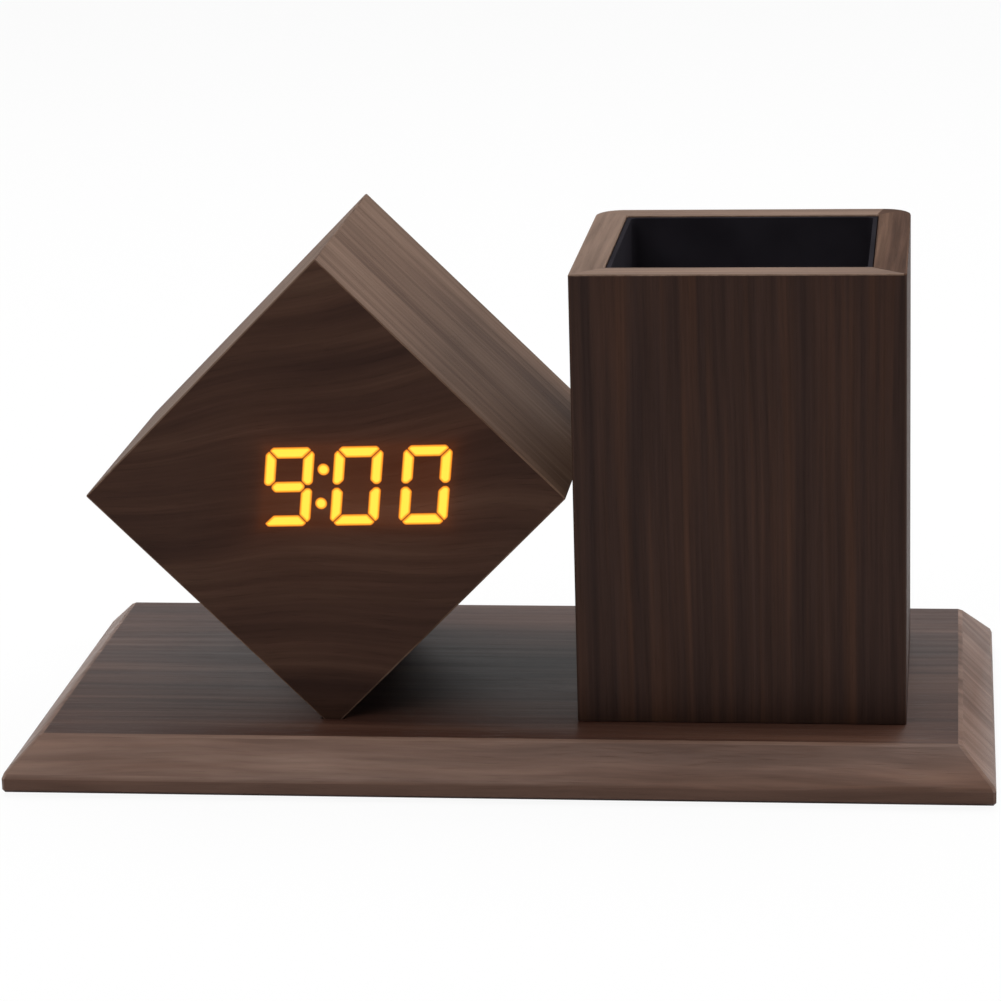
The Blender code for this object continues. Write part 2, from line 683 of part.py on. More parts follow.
def segment_outline(start, end, grow):
    """Return the six points of one segment between two corners of the digit, slanted."""
    start, end = Vector(start), Vector(end)
    along = (end - start).normalized()
    across = Vector((-along.y, along.x))
    half_width = SEGMENT_WIDTH * HALF_SHARE + grow
    tip = SEGMENT_GAP * HALF_SHARE / math.cos(EIGHTH_TURN) - grow / math.cos(EIGHTH_TURN)
    first = start + along * tip
    last = end - along * tip
    ring = [first, first + (along + across) * half_width, last + (across - along) * half_width, last,
            last - (along + across) * half_width, first + (along - across) * half_width]
    return [(point.x + point.y * math.tan(DIGIT_SLANT), point.y) for point in ring]


def digit_segments():
    """Return the seven segments of a digit as pairs of corners, by their usual letters."""
    side = (DIGIT_WIDTH - SEGMENT_WIDTH) * HALF_SHARE
    rise = (DIGIT_HEIGHT - SEGMENT_WIDTH) * HALF_SHARE
    return {
        "a": ((-side, rise), (side, rise)),
        "b": ((side, rise), (side, 0)),
        "c": ((side, 0), (side, -rise)),
        "d": ((side, -rise), (-side, -rise)),
        "e": ((-side, -rise), (-side, 0)),
        "f": ((-side, 0), (-side, rise)),
        "g": ((-side, 0), (side, 0)),
    }


# Lit segments of each place, from the left: dark, nine, nought, nought
LIT_SEGMENTS = ("", "abcdfg", "abcdef", "abcdef")
ALL_SEGMENTS = ("abcdefg",) * DISPLAY_PLACES


def segments_tool(name, letters, front_y, rear_y, grow=0):
    """Return one tool of separate prisms, one for each named segment and for the colon's dots."""
    tool = bmesh.new()
    for middle, lit in zip(digit_places(), letters):
        for letter in lit:
            ring = [(across + middle, up) for across, up in segment_outline(*digit_segments()[letter],
                                                                            grow)]
            add_shape(tool, outline_shape(ring, front_y, rear_y))
    for side in (-1, 1):
        rise = side * COLON_SPACING * HALF_SHARE
        dot = rod_shape(COLON_RADIUS + grow, rear_y - front_y, SMALL_ROUND_SIDES)
        shift = (rise * math.tan(DIGIT_SLANT), (front_y + rear_y) * HALF_SHARE, rise)
        bmesh.ops.translate(dot, verts=dot.verts, vec=shift)
        add_shape(tool, dot)
    return as_cutter(mesh_object(name, tool, CUTTERS, DISPLAY_FRAME))


def add_shape(tool, shape):
    """Copy one bmesh into another and free it."""
    mesh = bpy.data.meshes.new("loose_shape")
    shape.to_mesh(mesh)
    shape.free()
    tool.from_mesh(mesh)
    bpy.data.meshes.remove(mesh)


def build_front_panel():
    """Model the mitred front panel, with the pocket behind it and the windows of the lit segments."""
    shape = frustum_shape(CAVITY_HALF - GLUE_LINE, CLOCK_HALF - GLUE_LINE, FRONT_Y, PANEL_REAR_Y)
    panel = dress(mesh_object("front_panel", shape, PARTS, CLOCK_FRAME), "walnut")
    length = MODULE_HALF_LENGTH + SEAT_GAP
    height = MODULE_HALF_HEIGHT + SEAT_GAP
    pocket = box_cutter((-length, FRONT_Y + FRONT_SKIN, -height), (length, PANEL_REAR_Y + CUT_OVERRUN,
                                                                   height),
                        DISPLAY_FRAME)
    windows = segments_tool("window_cutter", LIT_SEGMENTS, FRONT_Y - CUT_OVERRUN, GUIDE_REAR_Y, RUNNING_GAP)
    cut(panel, pocket, windows)
    for place in spacer_places():
        pilot = rod_cutter(BOARD_SCREW_RADIUS + RUNNING_GAP, PANEL_REAR_Y - BOARD_SCREW_BITE - SEAT_GAP,
                           PANEL_REAR_Y + CUT_OVERRUN, place, CLOCK_FRAME, SMALL_ROUND_SIDES)
        cut(panel, pilot)


def spacer_places():
    """Return the two places, below and above the display, where the main board is screwed on."""
    return ((-SPACER_OFFSET, -SPACER_OFFSET), (SPACER_OFFSET, SPACER_OFFSET))


def build_display():
    """Model the light guide whose raised segments show the time, and the reflector behind it."""
    guide = span_box("light_guide", (-MODULE_HALF_LENGTH, GUIDE_FRONT_Y, -MODULE_HALF_HEIGHT),
                     (MODULE_HALF_LENGTH, GUIDE_REAR_Y, MODULE_HALF_HEIGHT), "lit", DISPLAY_FRAME)
    middle_y = (GUIDE_FRONT_Y + GUIDE_REAR_Y) * HALF_SHARE
    join(guide, segments_tool("raised_segments", LIT_SEGMENTS, FRONT_Y, middle_y))

    reflector = span_box("reflector", (-MODULE_HALF_LENGTH, REFLECTOR_FRONT_Y, -MODULE_HALF_HEIGHT),
                         (MODULE_HALF_LENGTH, REFLECTOR_REAR_Y, MODULE_HALF_HEIGHT), "white", DISPLAY_FRAME)
    cut(reflector, segments_tool("reflector_slots", ALL_SEGMENTS, REFLECTOR_FRONT_Y - CUT_OVERRUN,
                                 REFLECTOR_REAR_Y + CUT_OVERRUN))


def lamps_tool():
    """Return one tool of small lamp blocks, one behind each segment and each dot of the colon."""
    tool = bmesh.new()
    front_y = BOARD_FRONT_Y - LAMP_HEIGHT
    middle_y = (front_y + BOARD_FRONT_Y + BOARD_THICKNESS * HALF_SHARE) * HALF_SHARE
    depth = LAMP_HEIGHT + BOARD_THICKNESS * HALF_SHARE
    places = []
    for middle in digit_places():
        for start, end in digit_segments().values():
            up = (start[1] + end[1]) * HALF_SHARE
            places.append(((start[0] + end[0]) * HALF_SHARE + up * math.tan(DIGIT_SLANT) + middle, up))
    for side in (-1, 1):
        rise = side * COLON_SPACING * HALF_SHARE
        places.append((rise * math.tan(DIGIT_SLANT), rise))
    for across, up in places:
        lamp = box_shape((LAMP_SIZE, depth, LAMP_SIZE))
        bmesh.ops.translate(lamp, verts=lamp.verts, vec=(across, middle_y, up))
        add_shape(tool, lamp)
    return as_cutter(mesh_object("lamps", tool, CUTTERS, DISPLAY_FRAME))


def build_main_board():
    """Model the main board with its lamps, spacers and screws."""
    half = CAVITY_HALF - BOARD_CLEARANCE
    board = span_box("main_board", (-half, BOARD_FRONT_Y, -half), (half, BOARD_REAR_Y, half), "laminate",
                     CLOCK_FRAME)
    join(board, lamps_tool())
    for end, place in zip(("low", "high"), spacer_places()):
        spacer_front, spacer_rear = PANEL_REAR_Y + GLUE_LINE, BOARD_FRONT_Y - GLUE_LINE
        spacer = rod(f"board_spacer_{end}", SPACER_RADIUS, spacer_front, spacer_rear, place, "white",
                     CLOCK_FRAME,
                     SMALL_ROUND_SIDES)
        cut(spacer, rod_cutter(SPACER_BORE, spacer_front - CUT_OVERRUN, spacer_rear + CUT_OVERRUN, place,
                               CLOCK_FRAME, SMALL_ROUND_SIDES))
        hole = rod_cutter(BOARD_SCREW_RADIUS + RUNNING_GAP, BOARD_FRONT_Y - CUT_OVERRUN,
                          BOARD_REAR_Y + CUT_OVERRUN, place, CLOCK_FRAME, SMALL_ROUND_SIDES)
        cut(board, hole)
        under_head = BOARD_REAR_Y + GLUE_LINE
        head_y = under_head + BOARD_SCREW_HEAD
        length = head_y - PANEL_REAR_Y + BOARD_SCREW_BITE
        inward_screw(f"board_screw_{end}", head_y, place, length, BOARD_SCREW_RADIUS,
                     BOARD_SCREW_HEAD_RADIUS,
                     BOARD_SCREW_HEAD)


def build_board_parts():
    """Model the parts that stand on the rear of the main board."""
    seat = BOARD_REAR_Y + GLUE_LINE
    span_box("clock_chip", (CHIP_U - CHIP_LENGTH * HALF_SHARE, seat, CHIP_V - CHIP_WIDTH * HALF_SHARE),
             (CHIP_U + CHIP_LENGTH * HALF_SHARE, seat + CHIP_HEIGHT, CHIP_V + CHIP_WIDTH * HALF_SHARE),
             "black",
             CLOCK_FRAME)
    shape = bmesh.new()
    along_x = Matrix.Rotation(QUARTER_TURN, 4, "Y")
    bmesh.ops.create_cone(shape, cap_ends=True, segments=SMALL_ROUND_SIDES, radius1=CRYSTAL_RADIUS,
                          radius2=CRYSTAL_RADIUS, depth=CRYSTAL_LENGTH, matrix=along_x)
    crystal = mesh_object("timing_crystal", shape, PARTS, CLOCK_FRAME, (CRYSTAL_U, seat + CRYSTAL_RADIUS,
                                                                        CRYSTAL_V))
    dress(crystal, "steel", smooth=True)

    buzzer = rod("buzzer", BUZZER_RADIUS, seat, seat + BUZZER_HEIGHT, (BUZZER_U, BUZZER_V), "black",
                 CLOCK_FRAME)
    cut(buzzer, rod_cutter(BUZZER_PORT, seat + BUZZER_HEIGHT * HALF_SHARE,
                           seat + BUZZER_HEIGHT + CUT_OVERRUN,
                           (BUZZER_U, BUZZER_V), CLOCK_FRAME, SMALL_ROUND_SIDES))

    holder_radius = COIN_RADIUS + SEAT_GAP + HOLDER_WALL
    holder_top = seat + HOLDER_FLOOR + COIN_HEIGHT
    holder = rod("coin_cell_holder", holder_radius, seat, holder_top, (COIN_U, COIN_V), "black",
                 CLOCK_FRAME)
    cut(holder, rod_cutter(COIN_RADIUS + SEAT_GAP, seat + HOLDER_FLOOR, holder_top + CUT_OVERRUN,
                           (COIN_U, COIN_V), CLOCK_FRAME))
    coin_front = seat + HOLDER_FLOOR + SEAT_GAP
    rod("coin_cell", COIN_RADIUS, coin_front, coin_front + COIN_HEIGHT, (COIN_U, COIN_V), "steel",
        CLOCK_FRAME)

    rod("microphone", MIC_RADIUS, seat, seat + MIC_HEIGHT, (MIC_U, MIC_V), "steel", CLOCK_FRAME)
    rod("thermistor", THERMISTOR_RADIUS, seat, seat + THERMISTOR_HEIGHT, (THERMISTOR_U, THERMISTOR_V),
        "black",
        CLOCK_FRAME, SMALL_ROUND_SIDES, THERMISTOR_RADIUS)


def cover_tongue(offset, gap):
    """Return the corners of one of the cover's tongues, or of its slot with a gap all round."""
    half = COVER_TONGUE_WIDTH * HALF_SHARE + gap
    middle_y = (COVER_FRONT_Y + COVER_REAR_Y) * HALF_SHARE
    reach = COVER_HALF + COVER_TONGUE_REACH + gap
    low = (offset - half, middle_y - COVER_TONGUE_THICKNESS * HALF_SHARE - gap, -reach)
    high = (offset + half, middle_y + COVER_TONGUE_THICKNESS * HALF_SHARE + gap,
            -COVER_HALF + COVER_TONGUE_REACH)
    return low, high


def key_places():
    """Return the middle of each key along the cover."""
    return [KEY_FIRST_U + step * KEY_SPACING for step in range(len(KEY_NAMES))]


def cell_heights():
    """Return the middle of each cell across the bay."""
    first = BAY_INNER_LOW_V + SEAT_GAP + CELL_RADIUS
    return [first + step * CELL_PITCH for step in range(CELL_COUNT)]


def build_rear_cover():
    """Model the rear cover with its battery bay, door seat, key holes, jack hole and bosses."""
    cover = span_box("rear_cover", (-COVER_HALF, COVER_FRONT_Y, -COVER_HALF), (COVER_HALF, COVER_REAR_Y,
                                                                               COVER_HALF),
                     "black", CLOCK_FRAME)
    soften(cover, COVER_EDGE_SOFTENING)
    plate_middle = (COVER_FRONT_Y + COVER_REAR_Y) * HALF_SHARE
    join(cover, box_cutter((-BAY_HALF_U, BAY_FRONT_Y, BAY_LOW_V), (BAY_HALF_U, plate_middle, BAY_HIGH_V),
                           CLOCK_FRAME))
    for offset in (-COVER_TONGUE_OFFSET, COVER_TONGUE_OFFSET):
        join(cover, box_cutter(*cover_tongue(offset, 0), CLOCK_FRAME))
    for place in boss_places():
        join(cover, rod_cutter(BOSS_RADIUS, KEY_BOARD_REAR_Y + GLUE_LINE, plate_middle, place, CLOCK_FRAME,
                               SMALL_ROUND_SIDES))

    inner = BAY_INNER_HALF_U
    cut(cover, box_cutter((-inner, BAY_INNER_FRONT_Y, BAY_INNER_LOW_V),
                          (inner, COVER_REAR_Y + CUT_OVERRUN, BAY_INNER_HIGH_V), CLOCK_FRAME))
    land_y = COVER_REAR_Y - DOOR_PANEL - DOOR_GAP
    cut(cover, box_cutter((-inner, land_y, DOOR_LOW_V - DOOR_GAP),
                          (inner, COVER_REAR_Y + CUT_OVERRUN, BAY_INNER_LOW_V + CUT_OVERRUN), CLOCK_FRAME))
    pin_end = DOOR_HALF_U + DOOR_PIN_LENGTH + SEAT_GAP
    cut(cover, across_rod_tool(DOOR_PIN_RADIUS + DOOR_PIN_GAP, -pin_end, pin_end, DOOR_HINGE_Y,
                               DOOR_HINGE_V,
                               CLOCK_FRAME))
    cut(cover, grip_cutter())
    for across in key_places():
        cut(cover, rod_cutter(KEY_CAP_RADIUS + RUNNING_GAP, COVER_FRONT_Y - CUT_OVERRUN,
                              COVER_REAR_Y + CUT_OVERRUN,
                              (across, KEY_V), CLOCK_FRAME))
    cut(cover, rod_cutter(JACK_COLLAR_RADIUS + RUNNING_GAP, COVER_FRONT_Y - CUT_OVERRUN,
                          COVER_REAR_Y + CUT_OVERRUN, (JACK_U, KEY_V), CLOCK_FRAME))
    for place in boss_places():
        cut(cover, rod_cutter(BOSS_BORE, KEY_BOARD_REAR_Y - CUT_OVERRUN, plate_middle, place, CLOCK_FRAME,
                              SMALL_ROUND_SIDES))
    for across in (-CORNER_CENTRE, CORNER_CENTRE):
        place = (across, CORNER_CENTRE)
        cut(cover, rod_cutter(COVER_SCREW_RADIUS + RUNNING_GAP, COVER_FRONT_Y - CUT_OVERRUN, COVER_REAR_Y,
                              place,
                              CLOCK_FRAME, SMALL_ROUND_SIDES))
        cut(cover, rod_cutter(COVER_SCREW_HEAD_RADIUS + RUNNING_GAP, cover_screw_seat(),
                              COVER_REAR_Y + CUT_OVERRUN,
                              place, CLOCK_FRAME, SMALL_ROUND_SIDES))


def cover_screw_seat():
    """Return the depth of the counterbore's floor under a cover screw's head."""
    return COVER_REAR_Y - COVER_SCREW_HEAD - COVER_EDGE_SOFTENING


def grip_cutter():
    """Return the cutter of the shallow finger notch at the door's low edge."""
    return rod_cutter(DOOR_GRIP_RADIUS, COVER_REAR_Y - DOOR_GRIP_DEPTH, COVER_REAR_Y + CUT_OVERRUN,
                      (0, DOOR_LOW_V), CLOCK_FRAME)


def boss_places():
    """Return the places of the two bosses that carry the key board."""
    high = KEY_V + KEY_BOARD_WIDTH * HALF_SHARE - BOSS_INSET
    return ((-BOSS_OFFSET, high), (BOSS_OFFSET, high))


def build_corner_blocks():
    """Model the two blocks glued into the case's corners and the screws that hold the cover to them."""
    half = CORNER_BLOCK * HALF_SHARE
    rear_y = LEDGE_Y
    front_y = rear_y - CORNER_BLOCK_LENGTH
    for side, across in (("left", CORNER_CENTRE), ("right", -CORNER_CENTRE)):
        block = span_box(f"corner_block_{side}", (across - half, front_y, CORNER_CENTRE - half),
                         (across + half, rear_y, CORNER_CENTRE + half), "raw_board", CLOCK_FRAME)
        place = (across, CORNER_CENTRE)
        head_y = cover_screw_seat() + GLUE_LINE + COVER_SCREW_HEAD
        cut(block, rod_cutter(COVER_SCREW_RADIUS + RUNNING_GAP, head_y - COVER_SCREW_LENGTH - SEAT_GAP,
                              rear_y + CUT_OVERRUN, place, CLOCK_FRAME, SMALL_ROUND_SIDES))
        inward_screw(f"cover_screw_{side}", head_y, place, COVER_SCREW_LENGTH, COVER_SCREW_RADIUS,
                     COVER_SCREW_HEAD_RADIUS, COVER_SCREW_HEAD)


def door_outline():
    """Return the battery door's outline across its hinge: a slab with one full-round edge."""
    inner_y = COVER_REAR_Y - DOOR_PANEL
    drop = inner_y - DOOR_HINGE_Y
    last_angle = -math.pi - math.asin(drop / DOOR_HINGE_RADIUS)
    points = [(inner_y, DOOR_LOW_V), (COVER_REAR_Y, DOOR_LOW_V)]
    for step in range(SMALL_ROUND_SIDES + 1):
        angle = QUARTER_TURN + (last_angle - QUARTER_TURN) * step / SMALL_ROUND_SIDES
        points.append((DOOR_HINGE_Y + DOOR_HINGE_RADIUS * math.sin(angle),
                       DOOR_HINGE_V + DOOR_HINGE_RADIUS * math.cos(angle)))
    return points


def build_battery_door():
    """Model the door that swings on two pins at its upper edge, with its catch and finger notch."""
    shape = bmesh.new()
    ring = [shape.verts.new((-DOOR_HALF_U, deep - DOOR_HINGE_Y, up - DOOR_HINGE_V)) for deep,
            up in door_outline()]
    face = shape.faces.new(ring)
    grown = bmesh.ops.extrude_face_region(shape, geom=[face])
    moved = [part for part in grown["geom"] if isinstance(part, bmesh.types.BMVert)]
    bmesh.ops.translate(shape, verts=moved, vec=(DOOR_HALF_U + DOOR_HALF_U, 0, 0))
    door = mesh_object("battery_door", shape, PARTS, CLOCK_FRAME, (0, DOOR_HINGE_Y, DOOR_HINGE_V))
    dress(door, "black")

    pin_end = DOOR_HALF_U + DOOR_PIN_LENGTH
    join(door, across_rod_tool(DOOR_PIN_RADIUS, -pin_end, pin_end, DOOR_HINGE_Y, DOOR_HINGE_V, CLOCK_FRAME))
    inner_y = COVER_REAR_Y - DOOR_PANEL
    catch_low_v = BAY_INNER_LOW_V + DOOR_GAP
    half = DOOR_CATCH_WIDTH * HALF_SHARE
    join(door, box_cutter((-half, inner_y - DOOR_CATCH_LENGTH, catch_low_v),
                          (half, inner_y + DOOR_PANEL * HALF_SHARE, catch_low_v + DOOR_CATCH_THICKNESS),
                          CLOCK_FRAME))
    cut(door, grip_cutter())


def build_cells():
    """Model the three cells, laid head to tail, and the contacts at their ends."""
    for step, up in enumerate(cell_heights()):
        side = 1 if step % 2 == 0 else -1
        profile = [(0, 0), (CELL_RADIUS - CELL_EDGE, 0), (CELL_RADIUS, CELL_EDGE),
                   (CELL_RADIUS, CELL_LENGTH - CELL_EDGE), (CELL_RADIUS - CELL_EDGE, CELL_LENGTH),
                   (CELL_NUB_RADIUS, CELL_LENGTH), (CELL_NUB_RADIUS, CELL_FULL), (0, CELL_FULL)]
        cell = turned(f"cell_{step + 1}", profile, "cell", CLOCK_FRAME,
                      (-side * CELL_FULL * HALF_SHARE, CELL_Y, up), (0, side * QUARTER_TURN, 0))
        cell.data.materials.append(FINISHES["steel"])
    heights = cell_heights()
    build_contact("contact_positive", 1, heights[:1])
    build_contact("contact_link_upper", 1, heights[1:])
    build_contact("contact_link_lower", -1, heights[:2])
    build_contact("contact_negative", -1, heights[2:])


def build_contact(name, side, heights):
    """Model one pressed contact on an end wall of the bay, with a bump for each cell that it meets."""
    outer = BAY_INNER_HALF_U - GLUE_LINE
    inner = outer - CONTACT_THICKNESS
    half_width = CONTACT_WIDTH * HALF_SHARE
    half_depth = CONTACT_HEIGHT * HALF_SHARE
    low_x, high_x = sorted((side * inner, side * outer))
    plate = span_box(name, (low_x, CELL_Y - half_depth, heights[0] - half_width),
                     (high_x, CELL_Y + half_depth, heights[-1] + half_width), "steel", CLOCK_FRAME)
    tip = CELL_FULL * HALF_SHARE + SEAT_GAP
    for up in heights:
        bump_low, bump_high = sorted((side * tip, side * (inner + CONTACT_THICKNESS * HALF_SHARE)))
        join(plate, across_rod_tool(CONTACT_BUMP_RADIUS, bump_low, bump_high, CELL_Y, up, CLOCK_FRAME))


def build_keys():
    """Model the key board with its switches, plungers and buttons."""
    half_width = KEY_BOARD_WIDTH * HALF_SHARE
    board = span_box("key_board", (-KEY_BOARD_HALF, KEY_BOARD_FRONT_Y, KEY_V - half_width),
                     (KEY_BOARD_HALF, KEY_BOARD_REAR_Y, KEY_V + half_width), "laminate", CLOCK_FRAME)
    for side, place in zip(("left", "right"), reversed(boss_places())):
        cut(board, rod_cutter(BOSS_BORE + RUNNING_GAP, KEY_BOARD_FRONT_Y - CUT_OVERRUN,
                              KEY_BOARD_REAR_Y + CUT_OVERRUN, place, CLOCK_FRAME, SMALL_ROUND_SIDES))
        head_y = KEY_BOARD_FRONT_Y - GLUE_LINE - KEY_SCREW_HEAD
        length = KEY_SCREW_HEAD + BOARD_THICKNESS + KEY_SCREW_BITE
        inward_screw(f"key_board_screw_{side}", head_y, place, length, BOSS_BORE - RUNNING_GAP,
                     KEY_SCREW_HEAD_RADIUS, KEY_SCREW_HEAD, towards_front=False)

    half = SWITCH_SIZE * HALF_SHARE
    for key, across in zip(KEY_NAMES, key_places()):
        place = (across, KEY_V)
        switch = span_box(f"switch_{key}", (across - half, SWITCH_FRONT_Y, KEY_V - half),
                          (across + half, SWITCH_REAR_Y, KEY_V + half), "steel", CLOCK_FRAME)
        well_y = SWITCH_REAR_Y - SWITCH_WELL_DEPTH
        cut(switch, rod_cutter(SWITCH_WELL_RADIUS, well_y, SWITCH_REAR_Y + CUT_OVERRUN, place, CLOCK_FRAME))
        stem_y = COVER_FRONT_Y - SEAT_GAP - KEY_FLANGE - KEY_STEM_LENGTH
        rod(f"plunger_{key}", PLUNGER_RADIUS, well_y + KEY_TRAVEL + RUNNING_GAP, stem_y - GLUE_LINE,
            place, "black",
            CLOCK_FRAME)
        build_button(key, place, stem_y)


def build_button(key, place, stem_y):
    """Model one button: cap through the cover, flange behind it and stem on the plunger."""
    flange_rear = COVER_FRONT_Y - SEAT_GAP
    flange_front = flange_rear - KEY_FLANGE
    top = COVER_REAR_Y + KEY_CAP_PROUD
    profile = [(0, 0), (KEY_STEM_RADIUS, 0), (KEY_STEM_RADIUS, flange_front - stem_y),
               (KEY_FLANGE_RADIUS, flange_front - stem_y), (KEY_FLANGE_RADIUS, flange_rear - stem_y),
               (KEY_CAP_RADIUS, flange_rear - stem_y), (KEY_CAP_RADIUS, top - KEY_ROUNDING - stem_y),
               (KEY_CAP_RADIUS - KEY_ROUNDING, top - stem_y), (0, top - stem_y)]
    turned(f"button_{key}", profile, "black", CLOCK_FRAME, (place[0], stem_y, place[1]), (-QUARTER_TURN,
                                                                                          0, 0))


def build_jack():
    """Model the power jack on the key board, its collar flush with the cover."""
    half = JACK_SIZE * HALF_SHARE
    front_y = KEY_BOARD_REAR_Y + GLUE_LINE
    body_rear = COVER_FRONT_Y - SEAT_GAP
    jack = span_box("power_jack", (JACK_U - half, front_y, KEY_V - half), (JACK_U + half, body_rear,
                                                                           KEY_V + half),
                    "black", CLOCK_FRAME)
    place = (JACK_U, KEY_V)
    join(jack, rod_cutter(JACK_COLLAR_RADIUS, body_rear - KEY_FLANGE, COVER_REAR_Y, place, CLOCK_FRAME))
    bore_y = COVER_REAR_Y - JACK_HOLE_DEPTH
    cut(jack, rod_cutter(JACK_HOLE_RADIUS, bore_y, COVER_REAR_Y + CUT_OVERRUN, place, CLOCK_FRAME))
    join(jack, rod_cutter(JACK_PIN_RADIUS, bore_y - KEY_FLANGE, COVER_REAR_Y - JACK_PIN_DROP, place,
                          CLOCK_FRAME,
                          SMALL_ROUND_SIDES))


def bowed_line(start_y, end_y, sag):
    """Return points from one depth to another that bow up by a sag in the middle."""
    points = []
    for step in range(WIRE_STEPS + 1):
        share = step / WIRE_STEPS
        points.append((start_y + (end_y - start_y) * share, sag * math.sin(share * math.pi)))
    return points


def build_wires():
    """Model the ribbon between the two boards and the two leads of the battery bay."""
    start_y = BOARD_REAR_Y + GLUE_LINE
    line = bowed_line(start_y, KEY_BOARD_FRONT_Y - GLUE_LINE, WIRE_SAG)
    half = RIBBON_THICKNESS * HALF_SHARE
    ring = [(deep, KEY_V + up - half) for deep, up in line] + [(deep, KEY_V + up + half) for deep,
                                                               up in line[::-1]]
    shape = bmesh.new()
    verts = [shape.verts.new((-RIBBON_WIDTH * HALF_SHARE, deep, up)) for deep, up in ring]
    face = shape.faces.new(verts)
    grown = bmesh.ops.extrude_face_region(shape, geom=[face])
    moved = [part for part in grown["geom"] if isinstance(part, bmesh.types.BMVert)]
    bmesh.ops.translate(shape, verts=moved, vec=(RIBBON_WIDTH, 0, 0))
    dress(mesh_object("ribbon_cable", shape, PARTS, CLOCK_FRAME), "grey_wire")

    end_y = BAY_FRONT_Y - GLUE_LINE
    for name, across, up, colour in (("battery_lead_positive", LEAD_U, cell_heights()[0], "red_wire"),
                                     ("battery_lead_negative", -LEAD_U, cell_heights()[1], "black")):
        curve = bpy.data.curves.new(name, "CURVE")
        curve.dimensions = "3D"
        curve.bevel_depth = LEAD_RADIUS
        curve.bevel_resolution = 2
        curve.use_fill_caps = True
        line = bowed_line(start_y, end_y, WIRE_SAG)
        spline = curve.splines.new("POLY")
        spline.points.add(len(line) - 1)
        for point, (deep, rise) in zip(spline.points, line):
            point.co = (across, deep, up + rise, 1)
        lead = bpy.data.objects.new(name, curve)
        lead.parent = CLOCK_FRAME
        PARTS.objects.link(lead)
        curve.materials.append(FINISHES[colour])


def build():
    """Model the whole desk set."""
    board = build_base()
    build_cup(board)
    build_clock_case(board)
    build_front_panel()
    build_display()
    build_main_board()
    build_board_parts()
    build_rear_cover()
    build_corner_blocks()
    build_battery_door()
    build_cells()
    build_keys()
    build_jack()
    build_wires()


build()
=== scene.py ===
"""Looks of a desk set: a cube LED clock that stands on one edge, and a pen cup, on one board.

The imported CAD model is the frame. The pieces that show are modelled here over it, in metres and in
the same places, and every other node keeps its shape and gets the finish of its own material.
"""
from __future__ import annotations

import json
import logging
import math
from dataclasses import dataclass, field
from enum import Enum
from typing import Callable, Iterable, Sequence

import bmesh
import bpy
from mathutils import Matrix, Vector

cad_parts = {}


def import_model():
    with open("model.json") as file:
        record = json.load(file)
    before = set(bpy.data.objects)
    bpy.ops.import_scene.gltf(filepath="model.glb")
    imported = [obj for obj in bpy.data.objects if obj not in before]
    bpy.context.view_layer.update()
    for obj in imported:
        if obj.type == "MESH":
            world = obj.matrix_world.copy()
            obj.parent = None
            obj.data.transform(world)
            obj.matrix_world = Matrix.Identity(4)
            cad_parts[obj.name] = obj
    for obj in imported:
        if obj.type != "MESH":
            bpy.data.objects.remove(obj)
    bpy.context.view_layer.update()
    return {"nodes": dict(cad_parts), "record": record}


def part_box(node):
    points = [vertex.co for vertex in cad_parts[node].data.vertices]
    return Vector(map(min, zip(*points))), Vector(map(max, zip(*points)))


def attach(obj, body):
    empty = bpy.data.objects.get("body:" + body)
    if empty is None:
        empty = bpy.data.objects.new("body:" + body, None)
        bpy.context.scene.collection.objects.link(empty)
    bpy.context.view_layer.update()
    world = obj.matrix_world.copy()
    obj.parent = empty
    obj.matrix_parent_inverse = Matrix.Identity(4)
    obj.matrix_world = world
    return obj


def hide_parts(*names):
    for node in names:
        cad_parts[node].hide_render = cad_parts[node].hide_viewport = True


LOG = logging.getLogger("desk_set")

Triple = tuple[float, float, float]
Colour = Triple
Point = tuple[float, float]

GRAIN_LAYER = "grain"
GLOW_LAYER = "glow"
SEED = 7
SHARP_ANGLE = math.radians(50)
QUARTER_OVER = Matrix.Rotation(math.radians(90), 4, "X")


class Root(Enum):
    """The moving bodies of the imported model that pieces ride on."""

    SET = "desk_set"
    DOOR = "door"
    SET_KEY = "key_set"
    UP_KEY = "key_up"
    DOWN_KEY = "key_down"


class Grain(Enum):
    """The direction that a veneer's figure runs in before it is laid on a face."""

    LENGTH = (1.0, 0.0, 0.0)
    DEPTH = (0.0, 1.0, 0.0)
    HEIGHT = (0.0, 0.0, 1.0)

    @property
    def vector(self) -> Vector:
        """Return the direction as a vector."""
        return Vector(self.value)


class Operation(Enum):
    """The arithmetic that finishes use, by the name of the node's operation."""

    ADD = "ADD"
    SUBTRACT = "SUBTRACT"
    MULTIPLY = "MULTIPLY"


class Mixing(Enum):
    """How two colours are mixed, by the name of the node's blend type."""

    OVER = "MIX"
    TINT = "MULTIPLY"


